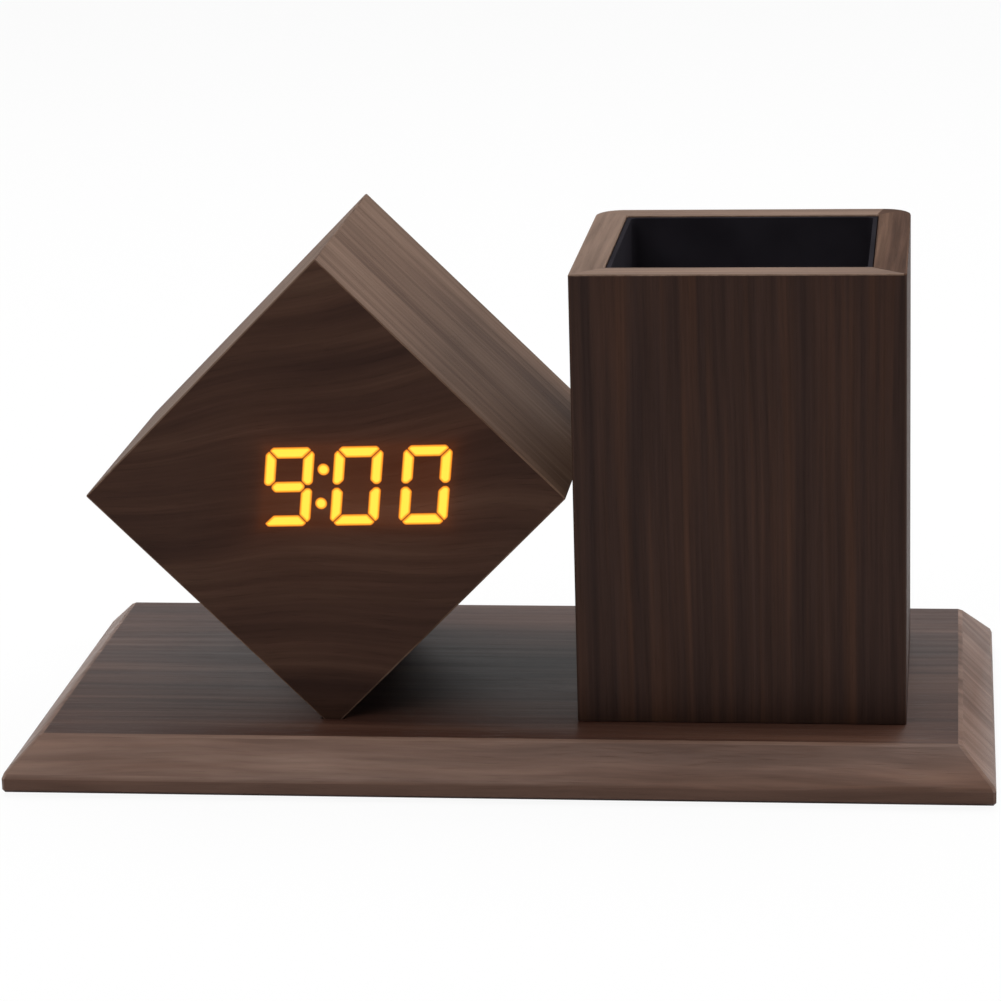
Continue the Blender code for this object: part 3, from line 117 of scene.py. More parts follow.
class Shader:
    """A material's node tree, put together a node at a time."""

    def __init__(self, name: str) -> None:
        """Start a material that holds only its surface shader.

        Args:
            name: The material's name.
        """
        self.material = bpy.data.materials.new(name)
        self.material.use_nodes = True
        self.tree = self.material.node_tree
        self.surface = self.tree.nodes["Principled BSDF"]

    def node(self, kind: str, **settings: object) -> bpy.types.Node:
        """Return a new node with the given settings.

        Args:
            kind: The node's type name.
            **settings: Properties to set on the node.

        Returns:
            The new node.
        """
        made = self.tree.nodes.new(kind)
        for key, value in settings.items():
            setattr(made, key, value)
        return made

    def feed(self, source: bpy.types.NodeSocket | float, target: bpy.types.NodeSocket) -> None:
        """Link a socket to another, or set the other one's value.

        Args:
            source: The socket or number that is fed in.
            target: The socket that takes it.
        """
        if isinstance(source, bpy.types.NodeSocket):
            self.tree.links.new(source, target)
        else:
            target.default_value = source

    def sum(self, operation: Operation, first: bpy.types.NodeSocket | float,
            second: bpy.types.NodeSocket | float) -> bpy.types.NodeSocket:
        """Return the result of one piece of arithmetic.

        Args:
            operation: What to work out.
            first: The first value.
            second: The second value.

        Returns:
            The socket that carries the result.
        """
        made = self.node("ShaderNodeMath", operation=operation.value)
        self.feed(first, made.inputs[0])
        self.feed(second, made.inputs[1])
        return made.outputs[0]

    def stretch(self, coordinate: bpy.types.NodeSocket, scale: Sequence[float],
                shift: Sequence[float] = (0.0, 0.0, 0.0)) -> bpy.types.NodeSocket:
        """Return a coordinate scaled along each axis and shifted.

        Args:
            coordinate: The coordinate to change.
            scale: The factor on each axis.
            shift: What is added on each axis after that.

        Returns:
            The socket that carries the new coordinate.
        """
        made = self.node("ShaderNodeMapping")
        made.inputs["Scale"].default_value = scale
        made.inputs["Location"].default_value = shift
        self.feed(coordinate, made.inputs["Vector"])
        return made.outputs["Vector"]

    def noise(self, coordinate: bpy.types.NodeSocket, detail: float, roughness: float,
              distortion: float = 0.0) -> bpy.types.NodeSocket:
        """Return fractal noise.

        Args:
            coordinate: Where to look, already scaled to the size of the pattern.
            detail: How many finer layers are laid over the first.
            roughness: How strong each finer layer is.
            distortion: How far the pattern is swirled.

        Returns:
            The socket that carries the noise.
        """
        made = self.node("ShaderNodeTexNoise", noise_dimensions="3D")
        made.inputs["Scale"].default_value = 1.0
        made.inputs["Detail"].default_value = detail
        made.inputs["Roughness"].default_value = roughness
        made.inputs["Distortion"].default_value = distortion
        self.feed(coordinate, made.inputs["Vector"])
        return made.outputs["Fac"]

    def ramp(self, value: bpy.types.NodeSocket, stops: Sequence[tuple[float, Colour]]) -> bpy.types.NodeSocket:
        """Return a colour picked from stops by a value.

        Args:
            value: Where to look, from nought to one.
            stops: Places and colours in rising order.

        Returns:
            The socket that carries the colour.
        """
        made = self.node("ShaderNodeValToRGB")
        bar = made.color_ramp.elements
        while len(bar) < len(stops):
            bar.new(1.0)
        for element, (place, colour) in zip(bar, stops):
            element.position = place
            element.color = (*colour, 1.0)
        self.feed(value, made.inputs["Fac"])
        return made.outputs["Color"]

    def level(self, value: bpy.types.NodeSocket, low: float, high: float, low_out: float = 0.0,
              high_out: float = 1.0) -> bpy.types.NodeSocket:
        """Return a value stretched from one range to another and held inside it.

        Args:
            value: The value to stretch.
            low: The value that becomes the lower end.
            high: The value that becomes the upper end.
            low_out: The lower end.
            high_out: The upper end.

        Returns:
            The socket that carries the new value.
        """
        made = self.node("ShaderNodeMapRange", clamp=True)
        for key, number in (("From Min", low), ("From Max", high), ("To Min", low_out), ("To Max", high_out)):
            made.inputs[key].default_value = number
        self.feed(value, made.inputs["Value"])
        return made.outputs["Result"]

    def blend(self, share: bpy.types.NodeSocket | float, first: bpy.types.NodeSocket | Colour,
              second: bpy.types.NodeSocket | Colour, mixing: Mixing = Mixing.OVER) -> bpy.types.NodeSocket:
        """Return two colours mixed by a share.

        Args:
            share: How much of the second colour shows.
            first: The colour at nought.
            second: The colour at one.
            mixing: How the node mixes them.

        Returns:
            The socket that carries the mixed colour.
        """
        made = self.node("ShaderNodeMix", data_type="RGBA", blend_type=mixing.value, clamp_factor=True)
        self.feed(share, made.inputs[0])
        for source, target in ((first, made.inputs[6]), (second, made.inputs[7])):
            if isinstance(source, bpy.types.NodeSocket):
                self.tree.links.new(source, target)
            else:
                target.default_value = (*source, 1.0)
        return made.outputs[2]

    def emboss(self, height: bpy.types.NodeSocket, depth: float, strength: float,
               below: bpy.types.NodeSocket | None = None) -> bpy.types.NodeSocket:
        """Return a bumped normal.

        Args:
            height: The relief, from nought to one.
            depth: How deep one is, in metres.
            strength: The share of the relief that shows.
            below: A bumped normal that this one is laid over.

        Returns:
            The socket that carries the normal.
        """
        made = self.node("ShaderNodeBump")
        made.inputs["Distance"].default_value = depth
        made.inputs["Strength"].default_value = strength
        self.feed(height, made.inputs["Height"])
        if below is not None:
            self.tree.links.new(below, made.inputs["Normal"])
        return made.outputs["Normal"]

    def object_place(self) -> bpy.types.NodeSocket:
        """Return the place on the piece, in metres."""
        return self.node("ShaderNodeTexCoord").outputs["Object"]

    def grain_place(self) -> bpy.types.NodeSocket:
        """Return the place on a laid veneer: along its grain and across it, in metres."""
        return self.node("ShaderNodeUVMap", uv_map=GRAIN_LAYER).outputs["UV"]

    def glow(self) -> bpy.types.NodeSocket:
        """Return the light stored on the piece's points."""
        return self.node("ShaderNodeAttribute", attribute_name=GLOW_LAYER).outputs["Fac"]

    def dress(self, roughness: float | bpy.types.NodeSocket, metallic: float = 0.0, specular: float = 0.5) -> None:
        """Set the surface shader's plain values.

        Args:
            roughness: How matt the surface is.
            metallic: One for bare metal.
            specular: The strength of its reflections.
        """
        self.feed(roughness, self.surface.inputs["Roughness"])
        self.surface.inputs["Metallic"].default_value = metallic
        self.surface.inputs["Specular IOR Level"].default_value = specular


@dataclass(frozen=True)
class VeneerFinish:
    """Walnut veneer under a satin lacquer, with its figure laid along the grain map.

    The stretches are in turns per metre: along the grain first, then across it.
    """

    name: str
    dark: Colour
    middle: Colour
    pale: Colour
    figure: Point
    streaks: Point
    wander: Point
    wander_depth: float
    streak_strength: float
    roughness: float
    specular: float
    shift: float
    pore_strength: float
    cloud_strength: float = 0.28
    glow: Colour | None = None
    glow_strength: float = 0.0
    clouds: Point = (18.0, 30.0)
    pores: Point = (150.0, 4200.0)
    pore_depth: float = 0.00005
    streak_depth: float = 0.00004

    def build(self) -> bpy.types.Material:
        """Put the veneer together.

        Returns:
            The material.
        """
        shader = Shader(self.name)
        place = shader.grain_place()
        laid = self.wandered(shader, place)
        figure = self.banded(shader, laid)
        streaks = shader.noise(shader.stretch(laid, (*self.streaks, 1.0), (self.shift, 3.1, 0.0)), 4.0, 0.62)
        pores = shader.noise(shader.stretch(place, (*self.pores, 1.0), (self.shift, 0.7, 0.0)), 2.0, 0.5)
        pore = shader.level(pores, 0.60, 0.68)
        colour = shader.ramp(figure, ((0.16, self.dark), (0.50, self.middle), (0.86, self.pale)))
        thin = shader.level(streaks, 0.36, 0.66, 1.0 - self.streak_strength, 1.0 + 0.25 * self.streak_strength)
        colour = self.shaded(shader, colour, thin)
        pore_share = shader.sum(Operation.MULTIPLY, pore, self.pore_strength)
        colour = shader.blend(pore_share, colour, self.dark, Mixing.TINT)
        shader.feed(colour, shader.surface.inputs["Base Color"])
        shine = shader.level(streaks, 0.30, 0.70, self.roughness + 0.07, self.roughness - 0.05)
        shader.dress(shine, specular=self.specular)
        sunk = shader.sum(Operation.SUBTRACT, 1.0, pore)
        relief = shader.emboss(streaks, self.streak_depth, 0.35)
        shader.feed(shader.emboss(sunk, self.pore_depth, 0.5, relief), shader.surface.inputs["Normal"])
        if self.glow is not None:
            spill = shader.sum(Operation.MULTIPLY, shader.glow(), self.glow_strength)
            shader.surface.inputs["Emission Color"].default_value = (*self.glow, 1.0)
            shader.feed(spill, shader.surface.inputs["Emission Strength"])
        return shader.material

    def wandered(self, shader: Shader, place: bpy.types.NodeSocket) -> bpy.types.NodeSocket:
        """Return the place moved across the grain by a slow wave, as real grain wanders.

        Args:
            shader: The material's nodes.
            place: The place on the veneer.

        Returns:
            The socket that carries the moved place.
        """
        slow = shader.noise(shader.stretch(place, (*self.wander, 1.0), (self.shift, 1.3, 0.0)), 2.0, 0.45)
        aside = shader.level(slow, 0.25, 0.75, -self.wander_depth, self.wander_depth)
        push = shader.node("ShaderNodeCombineXYZ")
        shader.feed(aside, push.inputs["Y"])
        moved = shader.node("ShaderNodeVectorMath", operation="ADD")
        shader.feed(place, moved.inputs[0])
        shader.feed(push.outputs["Vector"], moved.inputs[1])
        return moved.outputs["Vector"]

    def banded(self, shader: Shader, laid: bpy.types.NodeSocket) -> bpy.types.NodeSocket:
        """Return the broad light and dark bands of the figure, with soft clouds over them.

        Args:
            shader: The material's nodes.
            laid: The place on the veneer, once its grain wanders.

        Returns:
            The socket that carries the bands, from nought to one.
        """
        broad = shader.noise(shader.stretch(laid, (*self.figure, 1.0), (self.shift, 5.2, 0.0)), 4.0, 0.58, 0.25)
        cloud = shader.noise(shader.stretch(laid, (*self.clouds, 1.0), (self.shift, 9.4, 0.0)), 2.0, 0.5)
        both = shader.sum(Operation.ADD, shader.sum(Operation.MULTIPLY, broad, 1.0 - self.cloud_strength),
                          shader.sum(Operation.MULTIPLY, cloud, self.cloud_strength))
        return shader.level(both, 0.30, 0.70)

    @staticmethod
    def shaded(shader: Shader, colour: bpy.types.NodeSocket, factor: bpy.types.NodeSocket) -> bpy.types.NodeSocket:
        """Return a colour made lighter or darker.

        Args:
            shader: The material's nodes.
            colour: The colour.
            factor: What it is multiplied by.

        Returns:
            The socket that carries the new colour.
        """
        made = shader.node("ShaderNodeVectorMath", operation="SCALE")
        shader.feed(colour, made.inputs[0])
        shader.feed(factor, made.inputs["Scale"])
        return made.outputs["Vector"]


@dataclass(frozen=True)
class MouldedFinish:
    """Moulded plastic or rubber with a fine spark-eroded texture and a little handling wear."""

    name: str
    colour: Colour
    roughness: float = 0.5
    texture: float = 2600.0
    depth: float = 0.00002
    specular: float = 0.4
    variation: float = 0.18
    patches: float = 55.0

    def build(self) -> bpy.types.Material:
        """Put the plastic together.

        Returns:
            The material.
        """
        shader = Shader(self.name)
        place = shader.object_place()
        fine = shader.noise(shader.stretch(place, (self.texture,) * 3), 2.0, 0.5)
        broad = shader.noise(shader.stretch(place, (self.patches,) * 3, (SEED, 0.0, 0.0)), 3.0, 0.5)
        pale = tuple(min(1.0, part * (1.0 + self.variation) + 0.004) for part in self.colour)
        dark = tuple(part * (1.0 - self.variation) for part in self.colour)
        colour = shader.ramp(shader.level(broad, 0.3, 0.7), ((0.0, dark), (1.0, pale)))
        shader.feed(colour, shader.surface.inputs["Base Color"])
        shader.dress(shader.level(broad, 0.3, 0.7, self.roughness - 0.06, self.roughness + 0.06),
                     specular=self.specular)
        shader.feed(shader.emboss(fine, self.depth, 0.5), shader.surface.inputs["Normal"])
        return shader.material


@dataclass(frozen=True)
class MetalFinish:
    """Plated metal with fine drawn lines."""

    name: str
    colour: Colour
    roughness: float = 0.3
    drawn_lines: Triple = (300.0, 2400.0, 300.0)

    def build(self) -> bpy.types.Material:
        """Put the metal together.

        Returns:
            The material.
        """
        shader = Shader(self.name)
        place = shader.object_place()
        lines = shader.noise(shader.stretch(place, self.drawn_lines), 3.0, 0.6)
        tint = shader.ramp(shader.level(lines, 0.3, 0.7),
                           ((0.0, tuple(part * 0.82 for part in self.colour)), (1.0, self.colour)))
        shader.feed(tint, shader.surface.inputs["Base Color"])
        shader.dress(shader.level(lines, 0.3, 0.7, self.roughness - 0.08, self.roughness + 0.1), metallic=1.0)
        shader.feed(shader.emboss(lines, 0.00001, 0.4), shader.surface.inputs["Normal"])
        return shader.material


@dataclass(frozen=True)
class LitFinish:
    """Lit segments: a yellow core that falls off to an orange rim, by the glow stored on their points."""

    name: str
    core: Colour
    middle: Colour
    rim: Colour
    strength: float
    mottle: float = 900.0

    def build(self) -> bpy.types.Material:
        """Put the lit surface together.

        Returns:
            The material.
        """
        shader = Shader(self.name)
        share = shader.glow()
        mottle = shader.noise(shader.stretch(shader.object_place(), (self.mottle,) * 3), 2.0, 0.5)
        share = shader.sum(Operation.MULTIPLY, share, shader.level(mottle, 0.2, 0.8, 0.86, 1.0))
        colour = shader.ramp(share, ((0.0, self.rim), (0.42, self.middle), (0.90, self.core)))
        shader.feed(colour, shader.surface.inputs["Emission Color"])
        shader.surface.inputs["Emission Strength"].default_value = self.strength
        shader.surface.inputs["Base Color"].default_value = (*self.rim, 1.0)
        shader.dress(0.5, specular=0.2)
        return shader.material


@dataclass(frozen=True)
class LaminateFinish:
    """Circuit board: solder mask with faint tracks under it."""

    name: str
    colour: Colour
    track: Colour
    track_turns: float = 260.0
    track_width: float = 0.06

    def build(self) -> bpy.types.Material:
        """Put the laminate together.

        Returns:
            The material.
        """
        shader = Shader(self.name)
        place = shader.object_place()
        cells = shader.node("ShaderNodeTexBrick", offset=0.3)
        cells.inputs["Scale"].default_value = self.track_turns
        cells.inputs["Mortar Size"].default_value = self.track_width
        shader.feed(place, cells.inputs["Vector"])
        colour = shader.blend(cells.outputs["Fac"], self.colour, self.track)
        shader.feed(colour, shader.surface.inputs["Base Color"])
        shader.dress(0.35)
        return shader.material


Finish = VeneerFinish | MouldedFinish | MetalFinish | LitFinish | LaminateFinish

WALNUT_FRONT = VeneerFinish(
    "veneer_clock_front", dark=(0.035, 0.015, 0.010), middle=(0.059, 0.027, 0.017), pale=(0.088, 0.044, 0.028),
    figure=(6.0, 120.0), streaks=(18.0, 620.0), wander=(11.0, 22.0), wander_depth=0.0024, streak_strength=0.20,
    roughness=0.55, specular=0.10, shift=2.0, pore_strength=0.18, glow=(1.0, 0.18, 0.002), glow_strength=0.052)
# The case's walnut is a paler copy of the front's, which paints light onto the sides that face up.
WALNUT_CASE = VeneerFinish(
    "veneer_clock_case", dark=(0.088, 0.044, 0.027), middle=(0.142, 0.082, 0.054), pale=(0.190, 0.116, 0.080),
    figure=(6.0, 150.0), streaks=(16.0, 600.0), wander=(8.0, 20.0), wander_depth=0.0022, streak_strength=0.24,
    roughness=0.50, specular=0.14, shift=11.0, pore_strength=0.25)
WALNUT_CUP = VeneerFinish(
    "veneer_cup", dark=(0.032, 0.0158, 0.0120), middle=(0.044, 0.0210, 0.0146), pale=(0.061, 0.0265, 0.0156),
    figure=(8.0, 360.0), streaks=(18.0, 950.0), wander=(10.0, 26.0), wander_depth=0.0010, streak_strength=0.26,
    cloud_strength=0.14, roughness=0.52, specular=0.12, shift=23.0, pore_strength=0.12)
# Pale copy of the rim's walnut with a painted sheen: the grazing reflection along the left, front and rear rim is
# painted into its colour.
WALNUT_RIM_SHEEN = VeneerFinish(
    "veneer_cup_rim", dark=(0.130, 0.076, 0.050), middle=(0.190, 0.118, 0.082), pale=(0.240, 0.154, 0.110),
    figure=(8.0, 240.0), streaks=(20.0, 700.0), wander=(9.0, 24.0), wander_depth=0.0008, streak_strength=0.24,
    roughness=0.50, specular=0.16, shift=29.0, pore_strength=0.2)
# The right wall's rim: a darker copy of the same walnut, without the painted sheen.
WALNUT_RIM_DARK = VeneerFinish(
    "veneer_cup_rim_right", dark=(0.040, 0.016, 0.008), middle=(0.080, 0.038, 0.022), pale=(0.134, 0.072, 0.044),
    figure=(8.0, 260.0), streaks=(20.0, 700.0), wander=(9.0, 24.0), wander_depth=0.0010, streak_strength=0.34,
    roughness=0.55, specular=0.06, shift=31.0, pore_strength=0.2)
WALNUT_BOARD = VeneerFinish(
    "veneer_board", dark=(0.034, 0.013, 0.0085), middle=(0.060, 0.0245, 0.0160), pale=(0.100, 0.048, 0.032),
    figure=(5.0, 150.0), streaks=(14.0, 620.0), wander=(7.0, 22.0), wander_depth=0.0024, streak_strength=0.22,
    roughness=0.36, specular=0.29, shift=37.0, pore_strength=0.2)
# The chamfer's walnut is paler and warmer than the top's. Partly this is a paler finish of its own, and partly it is
# painted light for the light that falls on the chamfer.
WALNUT_CHAMFER = VeneerFinish(
    "veneer_board_chamfer", dark=(0.104, 0.052, 0.034), middle=(0.166, 0.092, 0.065), pale=(0.236, 0.146, 0.110),
    figure=(14.0, 120.0), streaks=(26.0, 520.0), wander=(12.0, 30.0), wander_depth=0.0030, streak_strength=0.22,
    roughness=0.42, specular=0.26, shift=41.0, pore_strength=0.12)
# The lip is a paler copy of the top's walnut, which paints light onto the board's edge.
WALNUT_LIP = VeneerFinish(
    "veneer_board_lip", dark=(0.082, 0.040, 0.026), middle=(0.118, 0.062, 0.043), pale=(0.160, 0.090, 0.065),
    figure=(9.0, 110.0), streaks=(22.0, 520.0), wander=(7.0, 22.0), wander_depth=0.0020, streak_strength=0.16,
    roughness=0.45, specular=0.20, shift=43.0, pore_strength=0.12)
LINING = MouldedFinish("cup_lining", (0.0138, 0.0118, 0.0156), 0.75, 1800.0, 0.00001, 0.02, 0.30)
BLACK = MouldedFinish("black_plastic", (0.016, 0.016, 0.018), 0.48)
BUTTON_BLACK = MouldedFinish("button_plastic", (0.030, 0.030, 0.033), 0.40, 3200.0, 0.00001)
WHITE = MouldedFinish("white_plastic", (0.72, 0.72, 0.69), 0.45)
RUBBER = MouldedFinish("rubber_foot", (0.022, 0.022, 0.022), 0.78, 1500.0, 0.00004, 0.25)
SLEEVE = MouldedFinish("cell_sleeve", (0.03, 0.10, 0.26), 0.28, 800.0, 0.00001, 0.5, 0.02)
SLEEVE_BAND = MouldedFinish("cell_sleeve_band", (0.62, 0.62, 0.60), 0.28, 800.0, 0.00001, 0.5, 0.02)
RED_LEAD = MouldedFinish("red_lead", (0.50, 0.02, 0.015), 0.42, 1800.0, 0.00001)
RIBBON = MouldedFinish("ribbon", (0.30, 0.31, 0.33), 0.45, 1200.0, 0.00003)
RAW_BOARD = MouldedFinish("raw_board", (0.34, 0.22, 0.13), 0.85, 1400.0, 0.00006, 0.15, 0.25)
STEEL = MetalFinish("plated_steel", (0.58, 0.58, 0.56))
LAMINATE = LaminateFinish("circuit_laminate", (0.012, 0.090, 0.035), (0.030, 0.16, 0.06))
LIT = LitFinish("lit_segments", core=(1.0, 0.80, 0.070), middle=(0.90, 0.38, 0.020), rim=(0.36, 0.075, 0.005),
                strength=1.0)


class Finishes:
    """The finishes of the set, each made a material once and kept by its name."""

    def __init__(self) -> None:
        """Build every finish."""
        kinds = (WALNUT_FRONT, WALNUT_CASE, WALNUT_CUP, WALNUT_RIM_SHEEN, WALNUT_RIM_DARK, WALNUT_BOARD, WALNUT_CHAMFER,
                 WALNUT_LIP, LINING, BLACK, BUTTON_BLACK, WHITE, RUBBER, SLEEVE, SLEEVE_BAND, RED_LEAD, RIBBON,
                 RAW_BOARD, STEEL, LAMINATE, LIT)
        self.made = {kind.name: kind.build() for kind in kinds}

    def __getitem__(self, kind: Finish) -> bpy.types.Material:
        """Return the material of a finish."""
        return self.made[kind.name]


@dataclass
class Workshop:
    """What every sub-assembly needs: the finishes, and how a shape becomes a piece of the scene."""

    finishes: Finishes
    nodes: dict[str, bpy.types.Object]
    made: list[str] = field(default_factory=list)

    def piece(self, name: str, shape: bmesh.types.BMesh, kinds: Sequence[Finish], body: Root,
              stands_for: Sequence[str] = (), slot: str | None = None) -> bpy.types.Object:
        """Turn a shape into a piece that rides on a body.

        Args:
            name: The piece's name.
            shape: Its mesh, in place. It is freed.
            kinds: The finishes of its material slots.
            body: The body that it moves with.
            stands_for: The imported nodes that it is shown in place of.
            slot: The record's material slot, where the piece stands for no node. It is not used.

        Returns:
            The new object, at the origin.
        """
        mesh = bpy.data.meshes.new(name)
        shape.normal_update()
        shape.to_mesh(mesh)
        shape.free()
        item = bpy.data.objects.new(name, mesh)
        bpy.context.scene.collection.objects.link(item)
        for kind in kinds:
            mesh.materials.append(self.finishes[kind])
        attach(item, body.value)
        if stands_for:
            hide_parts(*stands_for)
        self.made.append(name)
        LOG.info("%s: %d faces on %s", name, len(mesh.polygons), body.value)
        return item

    def copy_of(self, node: str) -> bmesh.types.BMesh:
        """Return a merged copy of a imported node's mesh, with its flat faces joined up.

        Args:
            node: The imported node.

        Returns:
            A new bmesh, in place.
        """
        shape = bmesh.new()
        shape.from_mesh(self.nodes[node].data)
        bmesh.ops.remove_doubles(shape, verts=shape.verts, dist=0.000002)
        bmesh.ops.dissolve_limit(shape, angle_limit=math.radians(0.5), verts=shape.verts, edges=shape.edges,
                                 use_dissolve_boundaries=False, delimit=set())
        for layer in list(shape.loops.layers.uv):
            shape.loops.layers.uv.remove(layer)
        return shape

    def keep(self, node: str, kind: Finish) -> None:
        """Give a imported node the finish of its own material.

        Args:
            node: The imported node.
            kind: The finish.
        """
        mesh = self.nodes[node].data
        mesh.materials.clear()
        mesh.materials.append(self.finishes[kind])


def soften_edges(shape: bmesh.types.BMesh, edges: Iterable[bmesh.types.BMEdge], width: float, steps: int = 2,
                 corners: bool = False) -> None:
    """Round edges, or corners of a flat outline, by a small radius.

    Args:
        shape: The mesh to change.
        edges: The edges, or the corner points, to round.
        width: How far the rounding reaches.
        steps: How many faces the rounding has.
        corners: Whether points are rounded and not edges.
    """
    bmesh.ops.bevel(shape, geom=list(edges), offset=width, offset_type="OFFSET", segments=steps, profile=0.5,
                    affect="VERTICES" if corners else "EDGES", clamp_overlap=True, material=-1)


def sharp_edges(shape: bmesh.types.BMesh, least: float = SHARP_ANGLE) -> list[bmesh.types.BMEdge]:
    """Return the edges whose two faces meet at more than an angle."""
    return [edge for edge in shape.edges if edge.is_manifold and edge.calc_face_angle(0.0) > least]


def smooth_round(shape: bmesh.types.BMesh, limit: float = math.radians(38)) -> None:
    """Shade a shape smooth, apart from its sharp edges.

    Args:
        shape: The mesh to shade.
        limit: The angle from which an edge stays sharp.
    """
    for face in shape.faces:
        face.smooth = True
    for edge in shape.edges:
        edge.smooth = edge.is_manifold and edge.calc_face_angle(0.0) < limit


def lay_grain(shape: bmesh.types.BMesh, rule: Callable[[bmesh.types.BMFace], Vector],
              bend: Callable[[Vector], float] | None = None) -> None:
    """Lay the veneer: give each face a map with its grain along one way, in metres.

    Args:
        shape: The mesh to lay it on.
        rule: Names the direction of the grain for a face, before it is turned into the face's plane.
        bend: How far the grain of a face is pushed aside at a place.
    """
    layer = shape.loops.layers.uv.new(GRAIN_LAYER)
    shape.normal_update()
    for face in shape.faces:
        normal = face.normal
        wanted = rule(face)
        along = wanted - normal * wanted.dot(normal)
        if along.length < 0.1:
            along = Grain.HEIGHT.vector - normal * normal.z
        along.normalize()
        across = normal.cross(along)
        leaf = 0.31 * round(normal.x, 1) + 0.17 * round(normal.y, 1) + 0.07 * round(normal.z, 1)
        for loop in face.loops:
            place = loop.vert.co
            aside = bend(place) if bend is not None else 0.0
            loop[layer].uv = (place.dot(along) + leaf, place.dot(across) + aside + leaf * 0.5)


def sink_face(shape: bmesh.types.BMesh, face: bmesh.types.BMFace, inset: float, depth: float) -> bmesh.types.BMFace:
    """Inset a face and push it in.

    Args:
        shape: The mesh that holds it.
        face: The face to sink.
        inset: The width of the rim that is left.
        depth: How far it goes in.

    Returns:
        The sunk face.
    """
    if inset > 0:
        bmesh.ops.inset_individual(shape, faces=[face], thickness=inset, depth=0.0, use_even_offset=True)
    way = face.normal.copy() * -depth
    sunk = bmesh.ops.extrude_discrete_faces(shape, faces=[face])["faces"][0]
    bmesh.ops.translate(shape, verts=list(sunk.verts), vec=way)
    return sunk


def turned_profile(profile: Sequence[Point], sides: int) -> bmesh.types.BMesh:
    """Spin a half outline round the upright axis.

    Args:
        profile: Radii and heights, from one end to the other.
        sides: How many faces go round.

    Returns:
        A new mesh, round where the outline is.
    """
    shape = bmesh.new()
    verts = [shape.verts.new((radius, 0.0, height)) for radius, height in profile]
    line = [shape.edges.new(pair) for pair in zip(verts, verts[1:])]
    bmesh.ops.spin(shape, geom=verts + line, cent=(0, 0, 0), axis=(0, 0, 1), angle=math.tau, steps=sides,
                   use_merge=True)
    bmesh.ops.remove_doubles(shape, verts=shape.verts, dist=0.000001)
    return shape


def face_towards(shape: bmesh.types.BMesh, way: Vector) -> bmesh.types.BMFace:
    """Return the largest face that looks one way."""
    facing = [face for face in shape.faces if face.normal.dot(way) > 0.99]
    return max(facing, key=lambda face: face.calc_area())


